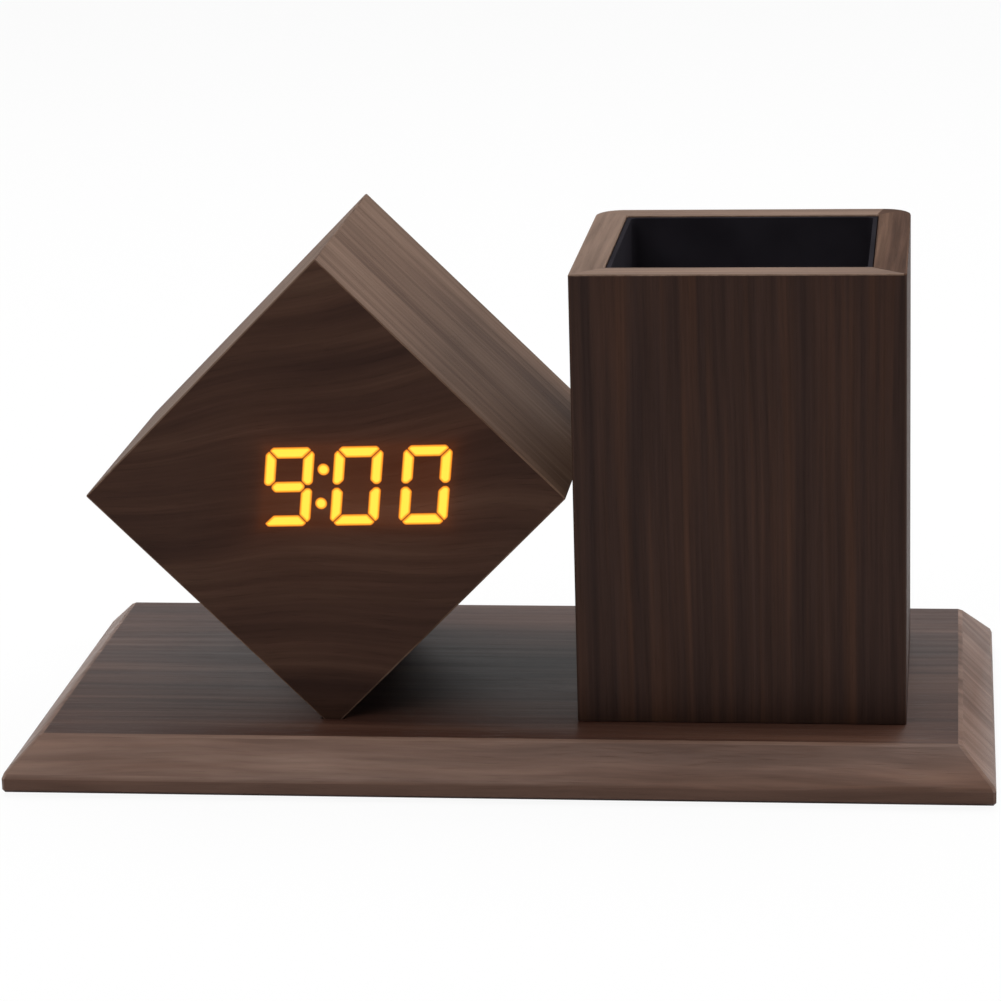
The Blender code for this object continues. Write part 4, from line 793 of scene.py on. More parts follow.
@dataclass
class Display:
    """The lit segments, which read 9:00, and where they are on the clock's front.

    Each spill is the light's share beside the digits and the distance over which it fades.
    """

    centre: Vector
    tilt: float = math.radians(1.2)
    slant: float = math.radians(7.3)
    height: float = 0.0143
    width: float = 0.0087
    pitch: float = 0.0121
    bar: float = 0.00205
    gap: float = 0.00008
    chamfer: float = 0.00125
    middle_gap: float = 0.00025
    outer_cut: float = 0.00050
    inner_cut: float = 0.00080
    tip: float = 0.00030
    corner: float = 0.00022
    rim: float = 0.00050
    lift: float = 0.00006
    colon_radius: float = 0.00108
    colon_spacing: float = 0.0061
    plate_half: Point = (0.0242, 0.0084)
    plate_thickness: float = 0.0010
    plate_gap: float = 0.00015
    middle_share: float = 0.48
    dot_sides: int = 20
    row_spill: Point = (0.68, 0.0012)
    haze_spill: Point = (0.10, 0.0080)
    bar_spill: Point = (0.18, 0.0006)
    reading: tuple[str, ...] = ("", "abcdfg", "abcdef", "abcdef")

    @property
    def turn(self) -> Matrix:
        """Return how the display stands in the world."""
        return Matrix.Translation(self.centre) @ Matrix.Rotation(-self.tilt, 4, "Y")

    def lines(self) -> dict[str, tuple[Point, Point]]:
        """Find the middle lines of a digit's segments.

        Returns:
            The two ends of each line, by the segment's usual letter.
        """
        side = (self.width - self.bar) / 2
        rise = (self.height - self.bar) / 2
        return {"a": ((-side, rise), (side, rise)), "b": ((side, rise), (side, 0)), "c": ((side, 0), (side, -rise)),
                "d": ((side, -rise), (-side, -rise)), "e": ((-side, -rise), (-side, 0)),
                "f": ((-side, 0), (-side, rise)), "g": ((-side, 0), (side, 0))}

    def lit_digits(self) -> list[tuple[float, str]]:
        """Return the middle and the lit letters of each digit that isn't dark."""
        first = (len(self.reading) - 1) / 2
        return [((place - first) * self.pitch, letters) for place, letters in enumerate(self.reading) if letters]

    def lit_lines(self) -> list[tuple[Vector, Vector]]:
        """Find the slanted middle line of each lit segment.

        Returns:
            The two ends of each line, in the display's plane.
        """
        found = []
        for middle, letters in self.lit_digits():
            for letter in letters:
                ends = [Vector((across + up * math.tan(self.slant) + middle, 0.0, up))
                        for across, up in self.lines()[letter]]
                found.append((ends[0], ends[1]))
        return found

    def dots(self) -> list[Vector]:
        """Return the middles of the colon's two dots."""
        rises = (-self.colon_spacing / 2, self.colon_spacing / 2)
        return [Vector((rise * math.tan(self.slant), 0.0, rise)) for rise in rises]

    def nearness(self, place: Vector) -> float:
        """Find how strongly the light spills over a place.

        Args:
            place: The place, in the world.

        Returns:
            The spill, from nought to one.
        """
        local = self.turn.inverted() @ place
        digits = self.lit_digits()
        level = local.x - local.z * math.tan(self.slant)
        aside = max(digits[0][0] - self.width / 2 - level, level - digits[-1][0] - self.width / 2, 0.0)
        away = math.hypot(aside, max(abs(local.z) - self.height / 2, 0.0))
        (row, row_fade), (haze, haze_fade), (bar, bar_fade) = self.row_spill, self.haze_spill, self.bar_spill
        spill = row * math.exp(-away / row_fade) + haze * math.exp(-((away / haze_fade) ** 2))
        return min(1.0, spill + bar * math.exp(-self.bar_distance(local) / bar_fade))

    def bar_distance(self, local: Vector) -> float:
        """Find how far a place is from the nearest lit bar's edge.

        Args:
            local: The place, in the display's own frame.

        Returns:
            The distance in the display's plane, or nought inside a bar.
        """
        flat = Vector((local.x, 0.0, local.z))
        nearest = math.inf
        for start, end in self.lit_lines():
            share = max(0.0, min(1.0, (flat - start).dot(end - start) / (end - start).length_squared))
            nearest = min(nearest, (flat - start - (end - start) * share).length)
        return max(0.0, nearest - self.bar / 2)

    def outline(self, letter: str) -> list[Point]:
        """Work out the outline of one segment: mitred at the digit's corners and blunt at its middle.

        Args:
            letter: Which segment.

        Returns:
            The corners in turn, across and up from the digit's middle.
        """
        half, rise = self.width / 2, self.height / 2
        mitre, step = half - rise, self.gap / math.sqrt(2)
        corner_sum = half + rise - self.chamfer
        if letter in "ad":
            side = [(half - self.chamfer, rise), ((corner_sum + mitre - step) / 2, (corner_sum - mitre + step) / 2),
                    (mitre - step + rise - self.bar, rise - self.bar)]
            ring = [(-across, up) for across, up in reversed(side)] + side
        elif letter == "g":
            reach = half - self.bar + self.middle_gap + self.inner_cut - self.gap * math.sqrt(2)
            thick = self.bar * self.middle_share
            side = [(reach - thick, thick), (reach - self.tip, self.tip), (reach - self.tip, -self.tip),
                    (reach - thick, -thick)]
            ring = [(-across, up) for across, up in reversed(side)] + side
        else:
            inner = half - self.bar
            ring = [((corner_sum + mitre + step) / 2, (corner_sum - mitre - step) / 2), (half, rise - self.chamfer),
                    (half, self.middle_gap + self.outer_cut), (half - self.outer_cut, self.middle_gap),
                    (inner + self.inner_cut, self.middle_gap), (inner, self.middle_gap + self.inner_cut),
                    (inner, inner - mitre - step)]
        flip_across = -1 if letter in "ef" else 1
        flip_up = -1 if letter in "cde" else 1
        return [(across * flip_across, up * flip_up) for across, up in ring]

    def segment(self, shape: bmesh.types.BMesh, letter: str, middle: float) -> bmesh.types.BMFace:
        """Draw one flat segment.

        Args:
            shape: The mesh to draw it in.
            letter: Which segment.
            middle: The middle of its digit.

        Returns:
            Its face.
        """
        return shape.faces.new([shape.verts.new((across + up * math.tan(self.slant) + middle, 0.0, up))
                                for across, up in self.outline(letter)])

    def light_guide(self, shop: Workshop, skin: float) -> None:
        """Model the light guide: a plate behind the skin, and the lit faces that show on its front.

        Args:
            shop: The workshop.
            skin: The thickness of the front that the light comes through.
        """
        shape = bmesh.new()
        glow = shape.verts.layers.float.new(GLOW_LAYER)
        bars = [self.segment(shape, letter, middle) for middle, letters in self.lit_digits() for letter in letters]
        for dot in self.dots():
            bmesh.ops.create_circle(shape, cap_ends=True, segments=self.dot_sides, radius=self.colon_radius,
                                    matrix=Matrix.Translation(dot) @ QUARTER_OVER)
        corners = [vert for face in bars for vert in face.verts]
        soften_edges(shape, corners, self.corner, corners=True)
        inner = bmesh.ops.inset_individual(shape, faces=list(shape.faces), thickness=self.rim, depth=0.0,
                                           use_even_offset=True)
        ring = set(inner["faces"])
        for face in shape.faces:
            if face not in ring:
                for vert in face.verts:
                    vert[glow] = 1.0
        bmesh.ops.recalc_face_normals(shape, faces=shape.faces)
        flipped = [face for face in shape.faces if face.normal.y > 0]
        bmesh.ops.reverse_faces(shape, faces=flipped)
        bmesh.ops.solidify(shape, geom=shape.faces[:], thickness=self.lift)
        front = min(vert.co.y for vert in shape.verts)
        bmesh.ops.translate(shape, verts=shape.verts, vec=(0.0, -front - self.lift, 0.0))
        plate = bmesh.ops.create_cube(shape, size=1.0)["verts"]
        wide, high = self.plate_half
        bmesh.ops.scale(shape, verts=plate, vec=(wide * 2, self.plate_thickness, high * 2))
        bmesh.ops.translate(shape, verts=plate, vec=(0.0, skin + self.plate_gap + self.plate_thickness / 2, 0.0))
        bmesh.ops.transform(shape, matrix=self.turn, verts=shape.verts)
        shop.piece("light_guide_lit", shape, (LIT,), Root.SET, ("light_guide",))


@dataclass
class Clock:
    """The cube clock: its folded wooden case and everything that shows at its rear."""

    shop: Workshop
    centre: Vector
    edge: float = 0.060
    wall: float = 0.0045
    ledge: float = 0.0024
    rebate_depth: float = 0.00305
    edge_radius: float = 0.00028
    skin: float = 0.0007
    front_cuts: int = 95
    display_shift: Point = (-0.0002, 0.0020)
    pocket_room: float = 0.0003
    bend_climb: float = 0.20
    bend_start: float = -0.004
    bend_reach: float = 0.016
    wave_depth: float = 0.0007
    wave_turns: Point = (150.0, 50.0)
    cover_rounding: float = 0.00008
    door_rounding: float = 0.00010
    key_rounding: float = 0.00012
    rib_count: int = 5
    rib_size: Triple = (0.0085, 0.0006, 0.0004)
    rib_pitch: float = 0.0009
    rib_rounding: float = 0.00015
    first_rib: Triple = (0.0, 0.0295, -0.0212)
    mark_radii: Point = (0.0010, 0.0009)
    mark_height: float = 0.0003
    first_mark: Triple = (-0.0110, 0.0306, 0.01725)
    key_pitch: float = 0.0082

    @property
    def turn(self) -> Matrix:
        """Return how the clock stands in the world, on one edge."""
        return Matrix.Translation(self.centre) @ Matrix.Rotation(math.radians(-45), 4, "Y")

    @property
    def display(self) -> Display:
        """Return the display, just right of and above the middle of the front."""
        across, up = self.display_shift
        return Display(self.centre + Vector((across, -self.edge / 2, up)))

    def build(self) -> None:
        """Model all the clock's pieces that show."""
        self.body()
        self.display.light_guide(self.shop, self.skin)
        self.moulded("cover_moulding", "rear_cover", BLACK, Root.SET, self.cover_rounding)
        self.door()
        self.keys()
        self.moulded("jack_moulding", "power_jack", BLACK, Root.SET, self.cover_rounding)
        for number in (1, 2, 3):
            Cell(self.shop, self.turn, number).build()

    def body(self) -> None:
        """Model the case and its front as one folded shell, with the pocket for the display behind."""
        shape = bmesh.new()
        bmesh.ops.create_cube(shape, size=self.edge)
        soften_edges(shape, shape.edges[:], self.edge_radius, 2)
        shape.normal_update()
        rear = face_towards(shape, Vector((0, 1, 0)))
        rim = self.wall - self.ledge - self.edge_radius
        seat = sink_face(shape, rear, rim, self.rebate_depth)
        shape.normal_update()
        floor = sink_face(shape, seat, self.ledge, self.edge - self.rebate_depth - self.wall)
        shape.normal_update()
        self.pocket(shape, floor)
        front = face_towards(shape, Vector((0, -1, 0)))
        bmesh.ops.subdivide_edges(shape, edges=list(front.edges), cuts=self.front_cuts, use_grid_fill=True)
        bmesh.ops.transform(shape, matrix=self.turn, verts=shape.verts)
        shape.normal_update()
        glow = shape.verts.layers.float.new(GLOW_LAYER)
        display = self.display
        # The front takes the darker walnut, and the sides take its paler copy, which carries painted light.
        for face in shape.faces:
            if face.normal.y < -0.99 and face.calc_center_median().y < -self.edge * 0.49:
                face.material_index = 0
                for vert in face.verts:
                    vert[glow] = display.nearness(vert.co)
            else:
                face.material_index = 1
        lay_grain(shape, self.grain, self.figure_bend)
        self.shop.piece("clock_body", shape, (WALNUT_FRONT, WALNUT_CASE), Root.SET, ("clock_case", "front_panel"))

    def pocket(self, shape: bmesh.types.BMesh, floor: bmesh.types.BMFace) -> None:
        """Sink the level pocket of the display into the rear of the front panel.

        Args:
            shape: The case, in its own frame.
            floor: The inner face of the front panel.
        """
        display = self.display
        local = self.turn.inverted() @ display.turn
        half = [length + self.pocket_room for length in display.plate_half]
        bits = {floor}
        for axis, reach in ((Vector((1, 0, 0)), half[0]), (Vector((0, 0, 1)), half[1])):
            for side in (-1, 1):
                geom = set(bits)
                for face in bits:
                    geom.update(face.edges)
                    geom.update(face.verts)
                place = local @ (axis * reach * side)
                way = (local.to_3x3() @ axis) * side
                cut = bmesh.ops.bisect_plane(shape, geom=list(geom), plane_co=place, plane_no=way)
                bits = {part for part in cut["geom"] if isinstance(part, bmesh.types.BMFace)}
        middle = local.to_translation().xz
        pocket = min(bits, key=lambda face: (face.calc_center_bounds().xz - middle).length)
        sink_face(shape, pocket, 0.0, self.wall - self.skin)

    def grain(self, face: bmesh.types.BMFace) -> Vector:
        """Name the grain's way: level across the front, and round the case on its sides and rear rim.

        Args:
            face: A face of the case, in place.

        Returns:
            The direction, before it is turned into the face's plane.
        """
        if face.normal.y < -0.7:
            return Grain.LENGTH.vector
        if face.normal.y > 0.7:
            away = face.calc_center_median() - self.centre
            rising = abs(away.x + away.z) > abs(away.x - away.z)
            return Vector((1.0, 0.0, -1.0)) if rising else Vector((1.0, 0.0, 1.0))
        return face.normal.cross(Grain.DEPTH.vector)

    def figure_bend(self, place: Vector) -> float:
        """Work out how far the front's figure is pushed aside: its bands climb to the right above the display.

        Args:
            place: A corner of a face, in place.

        Returns:
            The push, or nought away from the front.
        """
        if place.y > -self.edge / 2 + 0.0001:
            return 0.0
        across, up = place.x - self.centre.x, place.z - self.centre.z
        climb = self.bend_climb * max(0.0, min(1.0, (up - self.bend_start) / self.bend_reach))
        wave = math.sin(across * self.wave_turns[0] + up * self.wave_turns[1])
        return -climb * across + self.wave_depth * wave

    def moulded(self, name: str, node: str, kind: Finish, body: Root, width: float) -> None:
        """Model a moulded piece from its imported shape, with its edges rounded.

        Args:
            name: The piece's name.
            node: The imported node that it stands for.
            kind: Its finish.
            body: The body that it moves with.
            width: The radius of its edges.
        """
        shape = self.shop.copy_of(node)
        smooth_round(shape)
        item = self.shop.piece(name, shape, (kind,), body, (node,))
        rounding = item.modifiers.new("rounded_edges", "BEVEL")
        rounding.width = width
        rounding.segments = 2
        rounding.limit_method = "ANGLE"
        rounding.angle_limit = SHARP_ANGLE
        rounding.harden_normals = False
        rounding.use_clamp_overlap = True

    def door(self) -> None:
        """Model the battery door and the ribs of its thumb rest."""
        self.moulded("door_moulding", "battery_door", BLACK, Root.DOOR, self.door_rounding)
        shape = bmesh.new()
        for step in range(self.rib_count):
            rib = bmesh.ops.create_cube(shape, size=1.0)["verts"]
            bmesh.ops.scale(shape, verts=rib, vec=self.rib_size)
            place = Vector(self.first_rib) + Vector((0.0, 0.0, step * self.rib_pitch))
            bmesh.ops.translate(shape, verts=rib, vec=place)
        soften_edges(shape, shape.edges[:], self.rib_rounding)
        smooth_round(shape)
        bmesh.ops.transform(shape, matrix=self.turn, verts=shape.verts)
        self.shop.piece("door_ribs", shape, (BLACK,), Root.DOOR, (), "black_plastic")

    def keys(self) -> None:
        """Model the three buttons, with a raised mark on each cap: a dot, and arrows both ways."""
        low, high = self.mark_radii
        kinds = (("set", Root.SET_KEY, 20, 0), ("up", Root.UP_KEY, 3, 90), ("down", Root.DOWN_KEY, 3, -90))
        for step, (key, body, sides, turned) in enumerate(kinds):
            self.moulded(f"cap_{key}", f"button_{key}", BUTTON_BLACK, body, self.key_rounding)
            shape = bmesh.new()
            bmesh.ops.create_cone(shape, cap_ends=True, segments=sides, radius1=low, radius2=high,
                                  depth=self.mark_height)
            place = Vector(self.first_mark) + Vector((self.key_pitch * step, 0.0, 0.0))
            stand = Matrix.Translation(place) @ QUARTER_OVER.inverted()
            spun = Matrix.Rotation(math.radians(turned - 90), 4, "Z")
            bmesh.ops.transform(shape, matrix=self.turn @ stand @ spun, verts=shape.verts)
            bmesh.ops.recalc_face_normals(shape, faces=shape.faces)
            self.shop.piece(f"mark_{key}", shape, (WHITE,), body, (), "white_plastic")


@dataclass
class Cell:
    """One AAA cell, with its printed sleeve, bare ends and shrunk rims."""

    shop: Workshop
    clock_turn: Matrix
    number: int
    radius: float = 0.0051
    length: float = 0.0436
    full_length: float = 0.0445
    nub_radius: float = 0.0019
    bare_radius: float = 0.0042
    band: Point = (0.0360, 0.0430)
    depth: float = 0.02245
    first_height: float = -0.0186
    pitch: float = 0.0105
    sides: int = 32

    def profile(self) -> tuple[Point, ...]:
        """Work out the half outline.

        Returns:
            Radii and heights, from the flat end to the end with the nub.
        """
        shrunk, nub = self.radius - 0.0004, self.nub_radius
        return ((0.0, 0.0), (self.bare_radius, 0.0), (self.bare_radius + 0.00015, 0.0002), (shrunk, 0.0001),
                (self.radius, 0.0006), (self.radius, self.band[0]), (self.radius, self.band[1]),
                (shrunk, self.length), (self.bare_radius, self.length - 0.0003), (nub, self.length - 0.0002),
                (nub, self.full_length - 0.0002), (nub - 0.0003, self.full_length), (0.0, self.full_length))

    def build(self) -> None:
        """Model the cell and lay it in its place, each the other way round from its neighbour."""
        side = 1 if self.number % 2 == 1 else -1
        shape = turned_profile(self.profile(), self.sides)
        bmesh.ops.recalc_face_normals(shape, faces=shape.faces)
        for face in shape.faces:
            middle = face.calc_center_median()
            banded = self.band[0] < middle.z < self.band[1]
            face.material_index = 1 if middle.xy.length < self.bare_radius + 0.0002 else 2 if banded else 0
        smooth_round(shape)
        height = self.first_height + (self.number - 1) * self.pitch
        place = Matrix.Translation((-side * self.full_length / 2, self.depth, height))
        lying = Matrix.Rotation(side * math.radians(90), 4, "Y")
        bmesh.ops.transform(shape, matrix=self.clock_turn @ place @ lying, verts=shape.verts)
        self.shop.piece(f"cell_body_{self.number}", shape, (SLEEVE, STEEL, SLEEVE_BAND), Root.SET,
                        (f"cell_{self.number}",))


@dataclass
class Cup:
    """The square pen cup: a folded wooden case with rounded rear corners, and its dark lining."""

    shop: Workshop
    centre: Vector
    width: float = 0.0575
    height: float = 0.080
    bottom: float = 0.00995
    wall: float = 0.0058
    rear_radius: float = 0.005
    front_radius: float = 0.0005
    inner_radius: float = 0.0003
    rim_radius: float = 0.00028
    liner_gap: float = 0.00015
    liner_wall: float = 0.0008
    liner_drop: float = 0.0003
    liner_bend: float = 0.0012
    liner_lip: float = 0.0002
    floor: float = 0.0060
    floor_gap: float = 0.0003
    corner_steps: int = 8
    rim_slope: float = 0.3
    smooth_angle: float = math.radians(22)

    def build(self) -> None:
        """Model the case and the lining."""
        self.case()
        self.liner()

    def outline(self, shape: bmesh.types.BMesh, half: float, front: float, rear: float) -> list[bmesh.types.BMEdge]:
        """Draw a square loop with rounded corners.

        Args:
            shape: The mesh to draw it in.
            half: Half of its width.
            front: The radius of its front corners.
            rear: The radius of its rear corners.

        Returns:
            The loop's edges.
        """
        made = bmesh.ops.create_grid(shape, x_segments=1, y_segments=1, size=half)["verts"]
        for radius, corners in ((front, [vert for vert in made if vert.co.y < 0]),
                                (rear, [vert for vert in made if vert.co.y > 0])):
            soften_edges(shape, corners, radius, self.corner_steps, corners=True)
        face = max(shape.faces, key=lambda item: item.calc_area())
        loop = list(face.edges)
        bmesh.ops.delete(shape, geom=[face], context="FACES_ONLY")
        return loop

    def case(self) -> None:
        """Model the case as a ring drawn up from its foot, with a softened rim."""
        shape = bmesh.new()
        inner = self.outline(shape, self.width / 2 - self.wall, self.inner_radius, self.inner_radius)
        outer = self.outline(shape, self.width / 2, self.front_radius, self.rear_radius)
        ring = bmesh.ops.bridge_loops(shape, edges=inner + outer)["faces"]
        drawn = bmesh.ops.extrude_face_region(shape, geom=ring)["geom"]
        top = [part for part in drawn if isinstance(part, bmesh.types.BMVert)]
        bmesh.ops.translate(shape, verts=top, vec=(0, 0, self.height))
        bmesh.ops.recalc_face_normals(shape, faces=shape.faces)
        rim = [edge for edge in sharp_edges(shape) if all(vert.co.z > self.height / 2 for vert in edge.verts)]
        soften_edges(shape, rim, self.rim_radius)
        bmesh.ops.translate(shape, verts=shape.verts, vec=self.centre + Vector((0, 0, self.bottom)))
        smooth_round(shape, self.smooth_angle)
        lay_grain(shape, self.grain)
        # The rim's faces take the copy with the painted sheen, and those on the right wall take the darker copy
        # without it.
        right_wall = self.centre.x + self.width / 2 - self.wall
        for face in shape.faces:
            if face.normal.z > self.rim_slope:
                face.material_index = 2 if face.calc_center_median().x > right_wall else 1
        self.shop.piece("cup_shell", shape, (WALNUT_CUP, WALNUT_RIM_SHEEN, WALNUT_RIM_DARK), Root.SET, ("cup_case",))

    def grain(self, face: bmesh.types.BMFace) -> Vector:
        """Name the grain's way: upright on the walls, and along each side of the rim.

        Args:
            face: A face of the case, in place.

        Returns:
            The direction, before it is turned into the face's plane.
        """
        if abs(face.normal.z) < 0.8:
            return Grain.HEIGHT.vector
        away = face.calc_center_median() - self.centre
        return Grain.LENGTH.vector if abs(away.y) > abs(away.x) else Grain.DEPTH.vector

    def liner(self) -> None:
        """Model the lining: a thin dark tray whose lip lies just under the rim."""
        shape = bmesh.new()
        half = self.width / 2 - self.wall - self.liner_gap
        low = self.bottom + self.floor + self.floor_gap
        high = self.bottom + self.height - self.liner_drop
        bmesh.ops.create_cube(shape, size=1.0)
        bmesh.ops.scale(shape, verts=shape.verts, vec=(half * 2, half * 2, high - low))
        bmesh.ops.translate(shape, verts=shape.verts, vec=self.centre + Vector((0, 0, (low + high) / 2)))
        shape.normal_update()
        top = face_towards(shape, Vector((0, 0, 1)))
        sunk = sink_face(shape, top, self.liner_wall, high - low - self.liner_wall)
        shape.normal_update()
        inner = [edge for vert in sunk.verts for edge in vert.link_edges if edge.calc_length() > half
                 and edge not in sunk.edges]
        soften_edges(shape, set(inner) | set(sunk.edges), self.liner_bend, 4)
        lip = [edge for edge in sharp_edges(shape) if all(vert.co.z > high - 0.0001 for vert in edge.verts)]
        soften_edges(shape, lip, self.liner_lip)
        smooth_round(shape)
        self.shop.piece("cup_lining_tray", shape, (LINING,), Root.SET, ("cup_liner",))


@dataclass
class Board:
    """The chamfered board that carries the clock and the cup, and its rubber feet."""

    shop: Workshop
    foot_radius: float = 0.0045
    foot_height: float = 0.0018
    foot_rounding: float = 0.00035
    dish_rim: float = 0.0012
    dish_depth: float = 0.00012
    dish_taper: float = 0.92
    lip_slope: float = 0.3
    chamfer_slope: float = 0.95
    underside_slope: float = -0.5
    smooth_angle: float = math.radians(30)

    def build(self) -> None:
        """Model the board and its feet."""
        shape = self.shop.copy_of("base_board")
        smooth_round(shape, self.smooth_angle)
        lay_grain(shape, lambda face: Grain.LENGTH.vector)
        # The chamfer and the lip take paler copies of the walnut, and these carry painted light.
        for face in shape.faces:
            if self.lip_slope < face.normal.z < self.chamfer_slope:
                face.material_index = 1
            elif self.underside_slope < face.normal.z <= self.lip_slope:
                face.material_index = 2
        self.shop.piece("board_shell", shape, (WALNUT_BOARD, WALNUT_CHAMFER, WALNUT_LIP), Root.SET, ("base_board",))
        for side in ("left", "right"):
            for end in ("front", "rear"):
                self.foot(f"foot_{end}_{side}")

    def foot(self, node: str) -> None:
        """Model one foot: a disc with a rounded edge and a shallow dished face.

        Args:
            node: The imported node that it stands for.
        """
        shape = bmesh.new()
        bmesh.ops.create_cone(shape, cap_ends=True, segments=40, radius1=self.foot_radius, radius2=self.foot_radius,
                              depth=self.foot_height)
        shape.normal_update()
        soften_edges(shape, sharp_edges(shape), self.foot_rounding, 3)
        shape.normal_update()
        under = face_towards(shape, Vector((0, 0, -1)))
        sunk = sink_face(shape, under, self.dish_rim, self.dish_depth)
        bmesh.ops.scale(shape, verts=list(sunk.verts), vec=(self.dish_taper, self.dish_taper, 1.0))
        bmesh.ops.translate(shape, verts=shape.verts, vec=middle_of(node))
        smooth_round(shape)
        self.shop.piece(f"{node}_disc", shape, (RUBBER,), Root.SET, (node,))


@dataclass(frozen=True)
class ScrewKind:
    """The sizes of one kind of cross-headed screw, and whether it is driven in from the rear or from below."""

    head: float
    shank: float
    head_height: float
    pitch: float
    from_rear: bool


WOOD_SCREW = ScrewKind(head=0.0027, shank=0.0013, head_height=0.0016, pitch=0.00110, from_rear=False)
COVER_SCREW = ScrewKind(head=0.0020, shank=0.0010, head_height=0.0010, pitch=0.00080, from_rear=True)


@dataclass
class Screw:
    """One screw that shows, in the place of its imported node. The shares are of its head or shank."""

    shop: Workshop
    node: str
    kind: ScrewKind
    sides: int = 24
    thread_share: float = 0.78
    cross_width: float = 0.13
    cross_reach: float = 0.56
    cross_depth: float = 0.55
    cross_taper: float = 0.70

    def profile(self, length: float) -> list[Point]:
        """Work out the half outline from the head's rim to the tip, with the ridges of the thread.

        Args:
            length: The screw's length.

        Returns:
            Radii and heights, from the head down.
        """
        head, shank, pitch = self.kind.head, self.kind.shank, self.kind.pitch
        start = self.kind.head_height + pitch * 0.4
        points = [(head * 0.76, 0.0), (head * 0.93, 0.00005), (head, 0.00020), (shank, self.kind.head_height)]
        for ridge in range(int((length - shank * 1.6 - start) / pitch)):
            points += [(shank * self.thread_share, start + ridge * pitch), (shank, start + (ridge + 0.5) * pitch)]
        return points + [(shank * 0.72, length - shank * 1.3), (0.0, length)]

    def cross(self, shape: bmesh.types.BMesh) -> bmesh.types.BMFace:
        """Draw the cross of the drive on the head.

        Args:
            shape: The mesh to draw it in.

        Returns:
            Its face.
        """
        wide, reach = self.kind.head * self.cross_width, self.kind.head * self.cross_reach
        quarter = [(reach, wide), (wide, wide), (wide, reach)]
        half = quarter + [(-across, up) for across, up in reversed(quarter)]
        ring = half + [(-across, -up) for across, up in half]
        return shape.faces.new([shape.verts.new((across, up, 0.0)) for across, up in ring])

    def build(self) -> None:
        """Model the screw with its head at the origin, and set it in its place."""
        low, high = (Vector(corner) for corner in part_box(self.node))
        middle = (low + high) / 2
        shape = turned_profile(self.profile((high - low).y if self.kind.from_rear else (high - low).z), self.sides)
        rim = [edge for edge in shape.edges if edge.is_boundary]
        drive = self.cross(shape)
        bmesh.ops.triangle_fill(shape, edges=rim + list(drive.edges), use_beauty=True, use_dissolve=False)
        bmesh.ops.recalc_face_normals(shape, faces=shape.faces)
        sunk = sink_face(shape, drive, 0.0, self.kind.head_height * self.cross_depth)
        bmesh.ops.scale(shape, verts=list(sunk.verts), vec=(self.cross_taper, self.cross_taper, 1.0))
        smooth_round(shape)
        if self.kind.from_rear:
            place = Matrix.Translation((middle.x, high.y, middle.z)) @ QUARTER_OVER
        else:
            place = Matrix.Translation((middle.x, middle.y, low.z))
        bmesh.ops.transform(shape, matrix=place, verts=shape.verts)
        self.shop.piece(f"{self.node}_turned", shape, (STEEL,), Root.SET, (self.node,))


class HiddenWorks:
    """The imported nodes, each in its own finish: what shows of them are boards, blocks, wires and hidden screws."""

    BY_SLOT = {
        "raw_board": RAW_BOARD, "white_plastic": WHITE, "circuit_laminate": LAMINATE, "plated_steel": STEEL,
        "black_plastic": BLACK, "red_lead": RED_LEAD, "ribbon": RIBBON, "cell_sleeve": SLEEVE,
        "cup_lining": LINING, "rubber_foot": RUBBER, "lit_segments": LIT, "walnut_veneer": WALNUT_CASE,
        "walnut_board": WALNUT_BOARD,
    }

    def __init__(self, shop: Workshop, record: dict) -> None:
        """Remember the workshop and the record's slots.

        Args:
            shop: The workshop.
            record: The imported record.
        """
        self.shop = shop
        self.slots = {part["node"]: part["material_slot"] for part in record["subparts"]}

    def build(self) -> None:
        """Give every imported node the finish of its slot."""
        for node, slot in self.slots.items():
            self.shop.keep(node, self.BY_SLOT[slot])
        LOG.info("%d packed nodes have the finish of their slot", len(self.slots))


@dataclass(frozen=True)
class Lamp:
    """A soft square lamp that looks at the set: where it hangs, the length of its sides and its power in watts."""

    name: str
    place: Triple
    size: float
    power: float

    def build(self, aim: Vector) -> None:
        """Hang the lamp.

        Args:
            aim: What it looks at.
        """
        data = bpy.data.lights.new(self.name, "AREA")
        data.shape = "SQUARE"
        data.size = self.size
        data.energy = self.power
        item = bpy.data.objects.new(self.name, data)
        place = Vector(self.place)
        turn = (aim - place).to_track_quat("-Z", "Y").to_matrix().to_4x4()
        item.matrix_world = Matrix.Translation(place) @ turn
        bpy.context.scene.collection.objects.link(item)


LAMPS = (
    Lamp("lamp_top", (0.05, 0.20, 0.85), 0.9, 6.5),
    Lamp("lamp_left", (-0.95, 0.15, 0.45), 0.7, 3.0),
    Lamp("lamp_right", (1.0, 0.10, 0.50), 0.6, 5.0),
    Lamp("lamp_front", (-0.50, -0.90, 0.95), 0.8, 5.4),
)


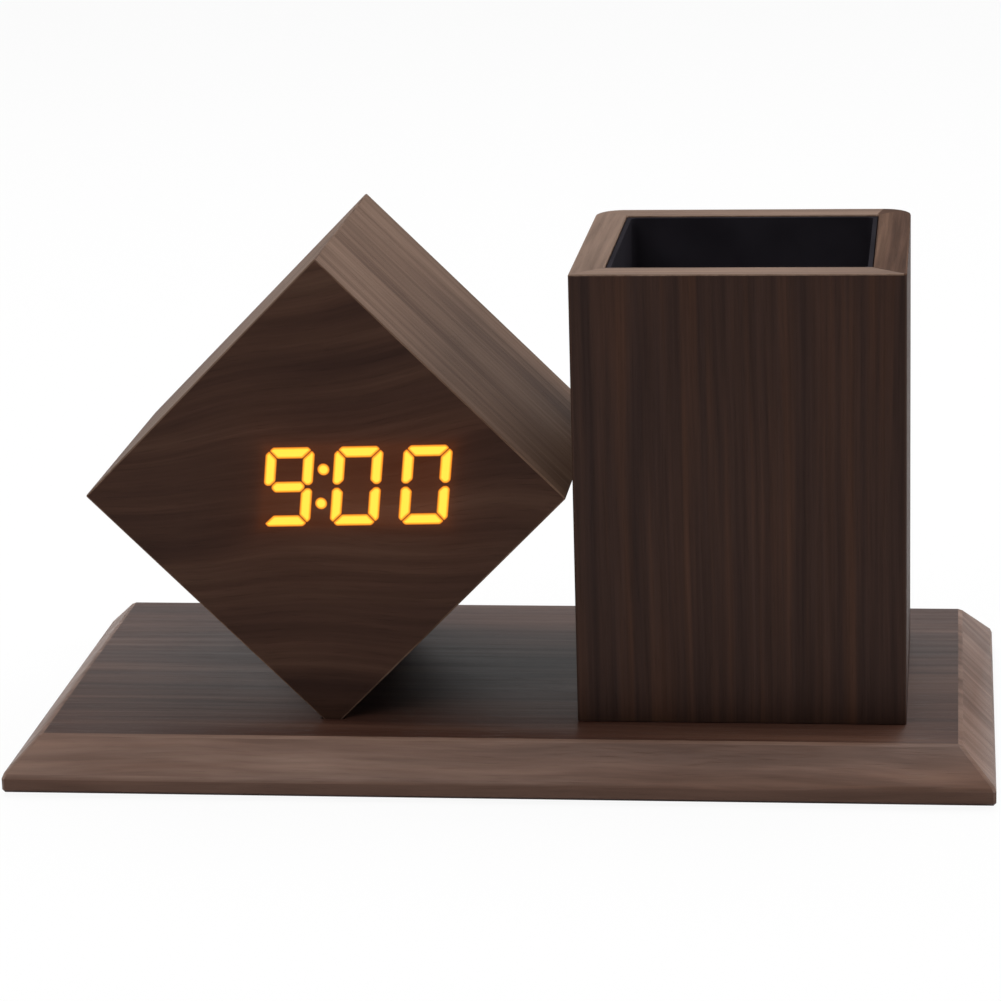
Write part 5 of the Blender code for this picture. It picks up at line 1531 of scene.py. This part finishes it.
@dataclass
class Studio:
    """A pale floor, soft light all round, and a camera where the photograph's was."""

    place: Vector = field(default_factory=lambda: Vector((0.0788, -0.6587, 0.2233)))
    yaw: float = -0.123
    pitch: float = -0.267
    roll: float = -0.028
    focal_pixels: float = 3789.0
    image_width: float = 1001.0
    sensor: float = 36.0
    floor_reach: float = 6.0
    floor_white: float = 0.93
    floor_tones: Point = (0.80, 0.82)
    world_reach: Point = (-0.35, 0.55)
    world_light: Point = (0.08, 0.48)
    aim: Vector = field(default_factory=lambda: Vector((0.0, 0.0, 0.04)))

    def build(self) -> None:
        """Set up the floor, the world, the lamps and the camera."""
        self.floor()
        self.world()
        for lamp in LAMPS:
            lamp.build(self.aim)
        self.camera()
        bpy.context.scene.view_settings.view_transform = "Standard"

    def camera(self) -> None:
        """Place the camera at the photograph's viewing angle."""
        forward = Vector((math.sin(self.yaw) * math.cos(self.pitch), math.cos(self.yaw) * math.cos(self.pitch),
                          math.sin(self.pitch)))
        level = Vector((math.cos(self.yaw), -math.sin(self.yaw), 0.0))
        upward = level.cross(forward)
        right = level * math.cos(self.roll) + upward * math.sin(self.roll)
        rise = upward * math.cos(self.roll) - level * math.sin(self.roll)
        data = bpy.data.cameras.new("camera")
        data.sensor_width = self.sensor
        data.lens = self.focal_pixels / self.image_width * self.sensor
        data.clip_start = 0.01
        item = bpy.data.objects.new("camera", data)
        turn = Matrix((right, rise, -forward)).transposed().to_4x4()
        item.matrix_world = Matrix.Translation(self.place) @ turn
        bpy.context.scene.collection.objects.link(item)
        bpy.context.scene.camera = item

    def floor(self) -> None:
        """Lay a pale floor that reads as white but keeps the object's shadow."""
        shape = bmesh.new()
        bmesh.ops.create_grid(shape, x_segments=1, y_segments=1, size=self.floor_reach)
        mesh = bpy.data.meshes.new("floor")
        shape.to_mesh(mesh)
        shape.free()
        item = bpy.data.objects.new("floor", mesh)
        bpy.context.scene.collection.objects.link(item)
        shader = Shader("floor_paper")
        grey = shader.noise(shader.stretch(shader.object_place(), (3.0,) * 3), 2.0, 0.5)
        low, high = self.floor_tones
        tone = shader.ramp(grey, ((0.0, (low,) * 3), (1.0, (high,) * 3)))
        shader.feed(tone, shader.surface.inputs["Base Color"])
        shader.dress(0.9, specular=0.1)
        seen = shader.node("ShaderNodeLightPath")
        white = shader.node("ShaderNodeEmission")
        white.inputs["Strength"].default_value = 1.0
        share = shader.sum(Operation.MULTIPLY, seen.outputs["Is Camera Ray"], self.floor_white)
        both = shader.node("ShaderNodeMixShader")
        shader.feed(share, both.inputs[0])
        shader.feed(shader.surface.outputs["BSDF"], both.inputs[1])
        shader.feed(white.outputs["Emission"], both.inputs[2])
        shader.feed(both.outputs["Shader"], shader.tree.nodes["Material Output"].inputs["Surface"])
        mesh.materials.append(shader.material)

    def world(self) -> None:
        """Make the surroundings: white to the camera, bright behind the set and dim before it."""
        world = bpy.data.worlds.new("studio")
        bpy.context.scene.world = world
        world.use_nodes = True
        tree = world.node_tree
        tree.nodes.clear()
        place, parts, level, path, white, soft, mix, out = (tree.nodes.new(f"ShaderNode{kind}") for kind in (
            "TexCoord", "SeparateXYZ", "MapRange", "LightPath", "Background", "Background", "MixShader",
            "OutputWorld"))
        ends = (*self.world_reach, *self.world_light)
        for key, number in zip(("From Min", "From Max", "To Min", "To Max"), ends):
            level.inputs[key].default_value = number
        white.inputs["Strength"].default_value = 1.0
        for background in (white, soft):
            background.inputs["Color"].default_value = (1.0, 1.0, 1.0, 1.0)
        for source, target in (
            (place.outputs["Generated"], parts.inputs["Vector"]),
            (parts.outputs["Y"], level.inputs["Value"]),
            (level.outputs["Result"], soft.inputs["Strength"]),
            (path.outputs["Is Camera Ray"], mix.inputs[0]),
            (soft.outputs["Background"], mix.inputs[1]),
            (white.outputs["Background"], mix.inputs[2]),
            (mix.outputs["Shader"], out.inputs["Surface"]),
        ):
            tree.links.new(source, target)


def middle_of(node: str) -> Vector:
    """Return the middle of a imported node's box."""
    low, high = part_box(node)
    return (Vector(low) + Vector(high)) / 2


def main() -> None:
    """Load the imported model, build every piece over it and set up the studio."""
    logging.basicConfig(level=logging.INFO, format="%(name)s: %(message)s")
    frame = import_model()
    Studio().build()
    shop = Workshop(Finishes(), frame["nodes"])
    HiddenWorks(shop, frame["record"]).build()
    Board(shop).build()
    cup_middle = middle_of("cup_case")
    Cup(shop, Vector((cup_middle.x, cup_middle.y, 0.0))).build()
    Clock(shop, middle_of("clock_case")).build()
    for node in ("cup_screw_left", "cup_screw_right", "seat_screw_front", "seat_screw_rear"):
        Screw(shop, node, WOOD_SCREW).build()
    for node in ("cover_screw_left", "cover_screw_right"):
        Screw(shop, node, COVER_SCREW).build()
    LOG.info("%d pieces built", len(shop.made))


if __name__ == "__main__":
    main()
